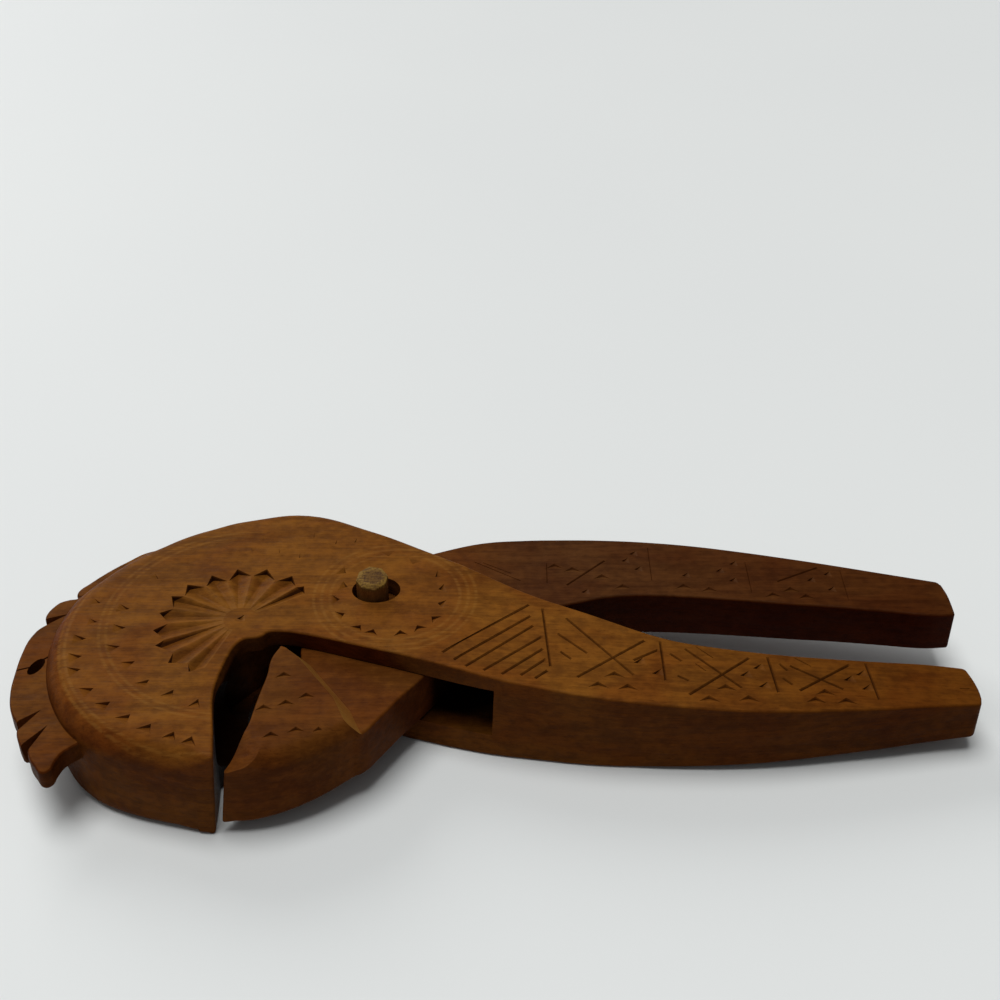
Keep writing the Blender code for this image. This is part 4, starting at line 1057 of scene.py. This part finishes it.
def make_peg():
    """The whittled peg, with eight uneven faces and a cut crown."""
    radius, top = size_of("peg_radius"), size_of("peg_top")
    bm = bmesh.new()
    bmesh.ops.create_cone(
        bm, cap_ends=True, segments=8, radius1=PEG_FOOT_RADIUS, radius2=radius, depth=top - PEG_FOOT
    )
    turn = Matrix.Rotation(math.radians(PEG_TURN), 4, "Z")
    shift = Matrix.Translation((0.0, 0.0, (top + PEG_FOOT) / 2.0))
    bmesh.ops.transform(bm, matrix=shift @ turn, verts=bm.verts)
    crown = max(bm.faces, key=lambda face: face.calc_center_median().z)
    bmesh.ops.inset_region(bm, faces=[crown], thickness=PEG_CROWN_INSET, depth=0.0, use_even_offset=True)
    for vert in bm.verts:
        x, y, z = vert.co
        if z > top - 0.1:
            is_outer = vert.co.xy.length > radius - 0.4
            vert.co.z -= 0.52 - 0.11 * y + 0.12 * math.sin(x * 1.7) if is_outer else 0.16 - 0.04 * y
    bmesh.ops.bevel(
        bm, geom=bm.edges[:], affect="EDGES", offset=PEG_EDGE, offset_type="OFFSET", segments=2, profile=0.5,
        clamp_overlap=True, material=-1,
    )
    piece = place_in_scene("whittled_peg", bm)
    mark_cuts(piece, lambda x: top)
    finish_piece(piece, peg_material(), "head", "pivot_peg")


def feed(tree, socket, value):
    """Gives a socket a value, or links another node's output to it."""
    if isinstance(value, bpy.types.NodeSocket):
        tree.links.new(value, socket)
    else:
        socket.default_value = value


def add_node(tree, kind, inputs=None, **settings):
    """A shader node with its settings, and its inputs as values or as links."""
    made = tree.nodes.new(kind)
    for key, value in settings.items():
        setattr(made, key, value)
    for key, value in (inputs or {}).items():
        feed(tree, made.inputs[key], value)
    return made


def stretched_noise(tree, place, scale, detail, distortion=0.0, turn=0.0):
    """Noise that is drawn out along the grain."""
    mapping = {"Vector": place, "Rotation": (0.0, 0.0, turn), "Scale": scale}
    mapped = add_node(tree, "ShaderNodeMapping", mapping).outputs["Vector"]
    noise = {"Vector": mapped, "Scale": 1.0, "Detail": detail, "Distortion": distortion}
    return add_node(tree, "ShaderNodeTexNoise", noise).outputs["Fac"]


def spread(tree, value, low, high, to_low=0.0, to_high=1.0):
    """A value stretched from one range to another, with its ends held."""
    inputs = {"Value": value, "From Min": low, "From Max": high, "To Min": to_low, "To Max": to_high}
    return add_node(tree, "ShaderNodeMapRange", inputs, interpolation_type="SMOOTHSTEP").outputs["Result"]


def below(tree, value, low, high):
    """1 where a value is under the low end of a range, and 0 where it is over the high end."""
    return spread(tree, value, low, high, 1.0, 0.0)


def calculate(tree, operation, *values):
    return add_node(tree, "ShaderNodeMath", dict(enumerate(values)), operation=operation).outputs[0]


def product(tree, first, *others):
    for other in others:
        first = calculate(tree, "MULTIPLY", first, other)
    return first


def sum_patterns(tree, patterns, shares):
    total = 0.0
    for key, share in shares.items():
        total = calculate(tree, "MULTIPLY_ADD", patterns[key], share, total)
    return total


def mix_colours(tree, share, first, second, blend="MIX"):
    made = add_node(tree, "ShaderNodeMix", data_type="RGBA", blend_type=blend)
    sockets = {item.identifier: item for item in made.inputs}
    for key, value in (("Factor_Float", share), ("A_Color", first), ("B_Color", second)):
        feed(tree, sockets[key], value)
    return next(item for item in made.outputs if item.identifier == "Result_Color")


def tint(tree, colour, shade, *shares):
    """A colour multiplied by a shade, as far as the product of some shares goes."""
    return mix_colours(tree, product(tree, *shares), colour, shade, "MULTIPLY")


def bump(tree, patterns, depths):
    """Stacks height patterns, each with its depth in metres, into one normal."""
    normal = None
    for key, depth in depths.items():
        inputs = {"Height": patterns[key], "Distance": depth, "Strength": 1.0}
        if normal is not None:
            inputs["Normal"] = normal
        normal = add_node(tree, "ShaderNodeBump", inputs).outputs["Normal"]
    return normal


def new_material(name):
    material = bpy.data.materials.new(name)
    material.use_nodes = True
    tree = material.node_tree
    return material, tree, add_node(tree, "ShaderNodeTexCoord").outputs["Object"]


def set_shader(tree, **inputs):
    """Gives the shader its inputs, whose spaces are written as underscores, as values or as links."""
    shader = tree.nodes["Principled BSDF"]
    for key, value in inputs.items():
        feed(tree, shader.inputs[key.replace("_", " ")], value)


def axis(tree, vector, name):
    return add_node(tree, "ShaderNodeSeparateXYZ", {"Vector": vector}).outputs[name]


def attribute(tree, name):
    return add_node(tree, "ShaderNodeAttribute", attribute_name=name).outputs["Fac"]


def plan_distance(tree, place, middle):
    """How far a point lies from a place in the plan."""
    centre = TO_FRAME @ Vector((middle[0], middle[1], 0.0))
    mapping = {"Vector": place, "Location": (-centre.x, -centre.y, 0.0), "Scale": (1.0, 1.0, 0.0)}
    mapped = add_node(tree, "ShaderNodeMapping", mapping).outputs["Vector"]
    return add_node(tree, "ShaderNodeVectorMath", {0: mapped}, operation="LENGTH").outputs["Value"]


def scribed_line(tree, place, middle, radius, ragged):
    """A worn compass line around a place in the plan: 1 on the line, and 0 beside it."""
    reach = plan_distance(tree, place, middle)
    offset = calculate(tree, "ABSOLUTE", calculate(tree, "SUBTRACT", reach, radius / 1000.0))
    return product(tree, below(tree, offset, *LINE_EDGE), spread(tree, ragged, 0.38, 0.60, 0.15, 1.0))


def draw_patterns(tree, place, table):
    return {key: stretched_noise(tree, place, *values) for key, values in table.items()}


def lighten_jaw(tree, top, side, upward, east):
    """Lightens the jaw end, and paints light on the whittled step: it takes the top's colour, mixed towards the
    pale line colour.
    """
    top = mix_colours(tree, spread(tree, east, *JAW_TOP_EAST), tint(tree, top, JAW_TOP_TINT, 1.0), top)
    side = mix_colours(tree, spread(tree, east, *JAW_SIDE_EAST), tint(tree, side, JAW_SIDE_TINT, 1.0), side)
    # Painted light: the step takes the top's colour, mixed towards the pale line colour
    step = attribute(tree, "step_face")
    top = mix_colours(tree, product(tree, step, STEP_LIGHT_SHARE), top, colour_of("line_and_highlight"))
    return top, side, calculate(tree, "MAXIMUM", upward, step)


def add_tones_and_low_shade(tree, colour, tipward_tint, patterns, facing, upward, east, height):
    """Darkens the cheek's slope, the wood towards the handles' tips, patches and pores; paints shade on upper
    faces low in the hollows.
    """
    slope = product(tree, spread(tree, facing, 0.15, 0.45), below(tree, facing, 0.80, 0.98))
    colour = tint(tree, colour, CHEEK_TINT, slope, below(tree, east, *CHEEK_SLOPE_EAST))
    # Darker towards the handles' tips
    colour = tint(tree, colour, tipward_tint, spread(tree, east, *TIPWARD_EAST, 0.0, 0.95))
    colour = tint(tree, colour, PATCH_TINT, spread(tree, patterns["patches"], 0.35, 0.68, 0.0, 0.55))
    colour = tint(tree, colour, PORE_TINT, spread(tree, patterns["pores"], 0.56, 0.74, 0.0, 0.45))
    # Painted shade on upper faces that lie low in the hollows
    return tint(tree, colour, LOW_SHADE_TINT, spread(tree, height, *LOW_SHADE_HEIGHT, 0.75, 0.0), upward)


def add_scribed_lines(tree, colour, lines, place, ragged, upward, east):
    """Draws the compass lines. Those round the head are worn away on its mouth side."""
    for middle, radius in lines:
        line = product(tree, scribed_line(tree, place, middle, radius, ragged), upward)
        if middle != PEG_RING_MIDDLE:
            line = product(tree, line, below(tree, east, *LINES_EAST))
        colour = mix_colours(tree, product(tree, line, LINE_SHARE), colour, colour_of("line_and_highlight"))
    return colour


def shade_hollows(tree, colour, place, upward, east, height):
    """Darkens the crest, and paints shade in the chamber behind the mouth, on the neck's front wall and in the
    slot.
    """
    crest_share = product(tree, below(tree, east, *CREST_EAST), below(tree, height, *CREST_HEIGHT))
    colour = tint(tree, colour, CREST_TINT, crest_share, CREST_SHARE)
    chamber = below(tree, plan_distance(tree, place, CHAMBER_MIDDLE), *CHAMBER_REACH)
    colour = tint(tree, colour, CHAMBER_SHADE_TINT, chamber, below(tree, height, *CHAMBER_HEIGHT), CHAMBER_SHARE)
    neck = below(tree, plan_distance(tree, place, NECK_MIDDLE), *NECK_REACH)
    colour = tint(tree, colour, NECK_SHADE_TINT, neck, spread(tree, upward, 0.0, 0.3, 0.9, 0.0))
    slot = below(tree, plan_distance(tree, place, SLOT_MIDDLE), *SLOT_REACH)
    return tint(tree, colour, SLOT_SHADE_TINT, slot, below(tree, height, *SLOT_HEIGHT), SLOT_SHARE)


def colour_cuts(tree, colour, place, upward):
    """Paints highlights on the cuts near the surface, more in the rosette, partly the paler fresh-cut wood;
    darkens their bottoms and steep walls with dark wax and painted shade.
    """
    cut_face, cut_depth = attribute(tree, "cut_face"), attribute(tree, "cut_depth")
    deep = product(tree, spread(tree, cut_depth, 0.0, 0.40), cut_face)
    fresh = spread(tree, plan_distance(tree, place, ROSETTE_MIDDLE), *ROSETTE_REACH, 0.18, 0.05)
    # Painted highlights on the cuts' ridges, partly the paler fresh-cut wood
    ridge_highlight = product(tree, calculate(tree, "SUBTRACT", cut_face, deep), fresh, upward)
    colour = mix_colours(tree, ridge_highlight, colour, colour_of("line_and_highlight"))
    # Dark wax and painted shade, strongest on the cuts' steep walls
    wax = spread(tree, upward, 0.5, 1.0, 0.82, 0.16)
    wax_and_shade = product(tree, spread(tree, cut_depth, 0.1, 0.6), cut_face, wax)
    return mix_colours(tree, wax_and_shade, colour, colour_of("cut_wax_and_shade"))


def wood_material(name, prefix, tipward_tint, lines=(), has_step=False):
    """Waxed wood: long grain and pores; tops lighter and walls darker and redder, partly the wood's own tone
    and partly painted light and shade; painted shade in the hollows; dark wax and painted shade in the cuts,
    with painted highlights on their ridges.
    """
    material, tree, place = new_material(name)
    patterns = draw_patterns(tree, place, WOOD_PATTERNS)
    facing = axis(tree, add_node(tree, "ShaderNodeNewGeometry").outputs["Normal"], "Z")
    upward = spread(tree, facing, 0.15, 0.95)
    east, height = axis(tree, place, "X"), axis(tree, place, "Z")
    grain = spread(tree, sum_patterns(tree, patterns, WOOD_GRAIN), 0.36, 0.64)
    top = mix_colours(tree, grain, colour_of(prefix + "top_dark"), colour_of(prefix + "top_light"))
    side = mix_colours(tree, grain, colour_of(prefix + "side_dark"), colour_of(prefix + "side_light"))
    if has_step:
        top, side, upward = lighten_jaw(tree, top, side, upward, east)
    # Tops and walls: the walls' darker colours are partly painted shade
    colour = mix_colours(tree, upward, side, top)
    colour = add_tones_and_low_shade(tree, colour, tipward_tint, patterns, facing, upward, east, height)
    colour = add_scribed_lines(tree, colour, lines, place, patterns["fibres"], upward, east)
    colour = shade_hollows(tree, colour, place, upward, east, height)
    colour = colour_cuts(tree, colour, place, upward)
    roughness = spread(tree, patterns["fibres"], 0.3, 0.7, 0.42, 0.56)
    relief = bump(tree, patterns, WOOD_BUMPS)
    set_shader(tree, Base_Color=colour, Roughness=roughness, Specular_IOR_Level=0.02, Normal=relief)
    return material


def peg_material():
    """Dry end grain on the crown, with a darker heart, and darker, redder wood on the sides below."""
    material, tree, place = new_material("peg_wood")
    patterns = draw_patterns(tree, place, PEG_PATTERNS)
    grain = spread(tree, sum_patterns(tree, patterns, PEG_GRAIN), 0.4, 0.6)
    colour = mix_colours(tree, grain, colour_of("peg_dark"), colour_of("peg_light"))
    reach = plan_distance(tree, place, HEART_MIDDLE)
    reach = calculate(tree, "MULTIPLY_ADD", patterns["specks"], 0.0016, reach)
    colour = tint(tree, colour, HEART_TINT, spread(tree, reach, *HEART_REACH, 0.85, 0.0))
    crown = spread(tree, axis(tree, place, "Z"), *PEG_CROWN_HEIGHT)
    colour = mix_colours(tree, crown, colour_of("peg_side"), colour)
    relief = bump(tree, patterns, PEG_BUMPS)
    set_shader(tree, Base_Color=colour, Roughness=0.62, Specular_IOR_Level=0.07, Normal=relief)
    return material


def floor_material():
    material, tree, place = new_material("pale_floor")
    patches = stretched_noise(tree, place, (6.0, 6.0, 6.0), 2.0)
    share = spread(tree, patches, 0.3, 0.7, 0.0, 0.25)
    colour = mix_colours(tree, share, colour_of("floor"), colour_of("floor_shade"))
    set_shader(tree, Base_Color=colour, Roughness=0.55, Specular_IOR_Level=0.3)
    return material


def add_soft_light(name, place, aim, width, strength):
    """An even, soft light from one side: width is how broad it looks from the floor, in degrees."""
    light = bpy.data.lights.new(name, "SUN")
    light.angle = math.radians(width)
    light.energy = strength
    made = add_object(name, light)
    made.location = place
    made.rotation_euler = (Vector(aim) - Vector(place)).to_track_quat("-Z", "Y").to_euler()


def make_stage():
    """The floor, the lights and the camera."""
    bm = bmesh.new()
    bmesh.ops.create_grid(bm, x_segments=1, y_segments=1, size=FLOOR_SIZE)
    floor = place_in_scene("floor", bm)
    floor.data.materials.clear()
    floor.data.materials.append(floor_material())
    world = bpy.data.worlds.new("studio")
    world.use_nodes = True
    sky = world.node_tree.nodes["Background"]
    sky.inputs["Color"].default_value = SKY_COLOUR
    sky.inputs["Strength"].default_value = SKY_STRENGTH
    bpy.context.scene.world = world
    bpy.context.scene.view_settings.view_transform = "Standard"
    for name, settings in LIGHTS.items():
        add_soft_light(name, *settings)
    camera = bpy.data.cameras.new("camera")
    camera.sensor_width = 36.0
    camera.lens = CAMERA_LENS
    camera.clip_start = 0.01
    view = add_object("camera", camera)
    view.location = (PEG_AXIS.x + CAMERA_PLACE[0], PEG_AXIS.y + CAMERA_PLACE[1], CAMERA_PLACE[2])
    view.rotation_euler = (math.radians(CAMERA_TILT), 0.0, 0.0)
    bpy.context.scene.camera = view


class NUTCRACKER_OT_head_lever(bpy.types.Operator):
    """Builds the carved head lever"""

    bl_idname = "nutcracker.head_lever"
    bl_label = "Head lever"

    def execute(self, context):
        make_head_lever()
        return {"FINISHED"}


class NUTCRACKER_OT_jaw_lever(bpy.types.Operator):
    """Builds the carved jaw lever"""

    bl_idname = "nutcracker.jaw_lever"
    bl_label = "Jaw lever"

    def execute(self, context):
        make_jaw_lever()
        return {"FINISHED"}


class NUTCRACKER_OT_peg(bpy.types.Operator):
    """Builds the whittled peg"""

    bl_idname = "nutcracker.peg"
    bl_label = "Peg"

    def execute(self, context):
        make_peg()
        return {"FINISHED"}


class NUTCRACKER_OT_stage(bpy.types.Operator):
    """Builds the floor, the lights and the camera"""

    bl_idname = "nutcracker.stage"
    bl_label = "Stage"

    def execute(self, context):
        make_stage()
        return {"FINISHED"}


class NUTCRACKER_PT_panel(bpy.types.Panel):
    """Lists the nutcracker's pieces"""

    bl_label = "Nutcracker"
    bl_space_type = "VIEW_3D"
    bl_region_type = "UI"
    bl_category = "Nutcracker"

    def draw(self, context):
        for operator in OPERATORS:
            self.layout.operator(operator.bl_idname)
        for group in (context.scene.nutcracker_sizes, context.scene.nutcracker_finish):
            box = self.layout.box()
            for key in group.bl_rna.properties.keys():
                if key not in ("rna_type", "name"):
                    box.prop(group, key)


OPERATORS = (
    NUTCRACKER_OT_head_lever,
    NUTCRACKER_OT_jaw_lever,
    NUTCRACKER_OT_peg,
    NUTCRACKER_OT_stage,
)
CLASSES = (NutcrackerSizes, NutcrackerFinish) + OPERATORS + (NUTCRACKER_PT_panel,)


def register():
    for item in CLASSES:
        bpy.utils.register_class(item)
    bpy.types.Scene.nutcracker_sizes = bpy.props.PointerProperty(type=NutcrackerSizes)
    bpy.types.Scene.nutcracker_finish = bpy.props.PointerProperty(type=NutcrackerFinish)


def unregister():
    del bpy.types.Scene.nutcracker_finish
    del bpy.types.Scene.nutcracker_sizes
    for item in reversed(CLASSES):
        bpy.utils.unregister_class(item)


def main():
    register()
    bpy.ops.nutcracker.head_lever()
    bpy.ops.nutcracker.jaw_lever()
    bpy.ops.nutcracker.peg()
    bpy.ops.nutcracker.stage()


if __name__ == "__main__":
    main()
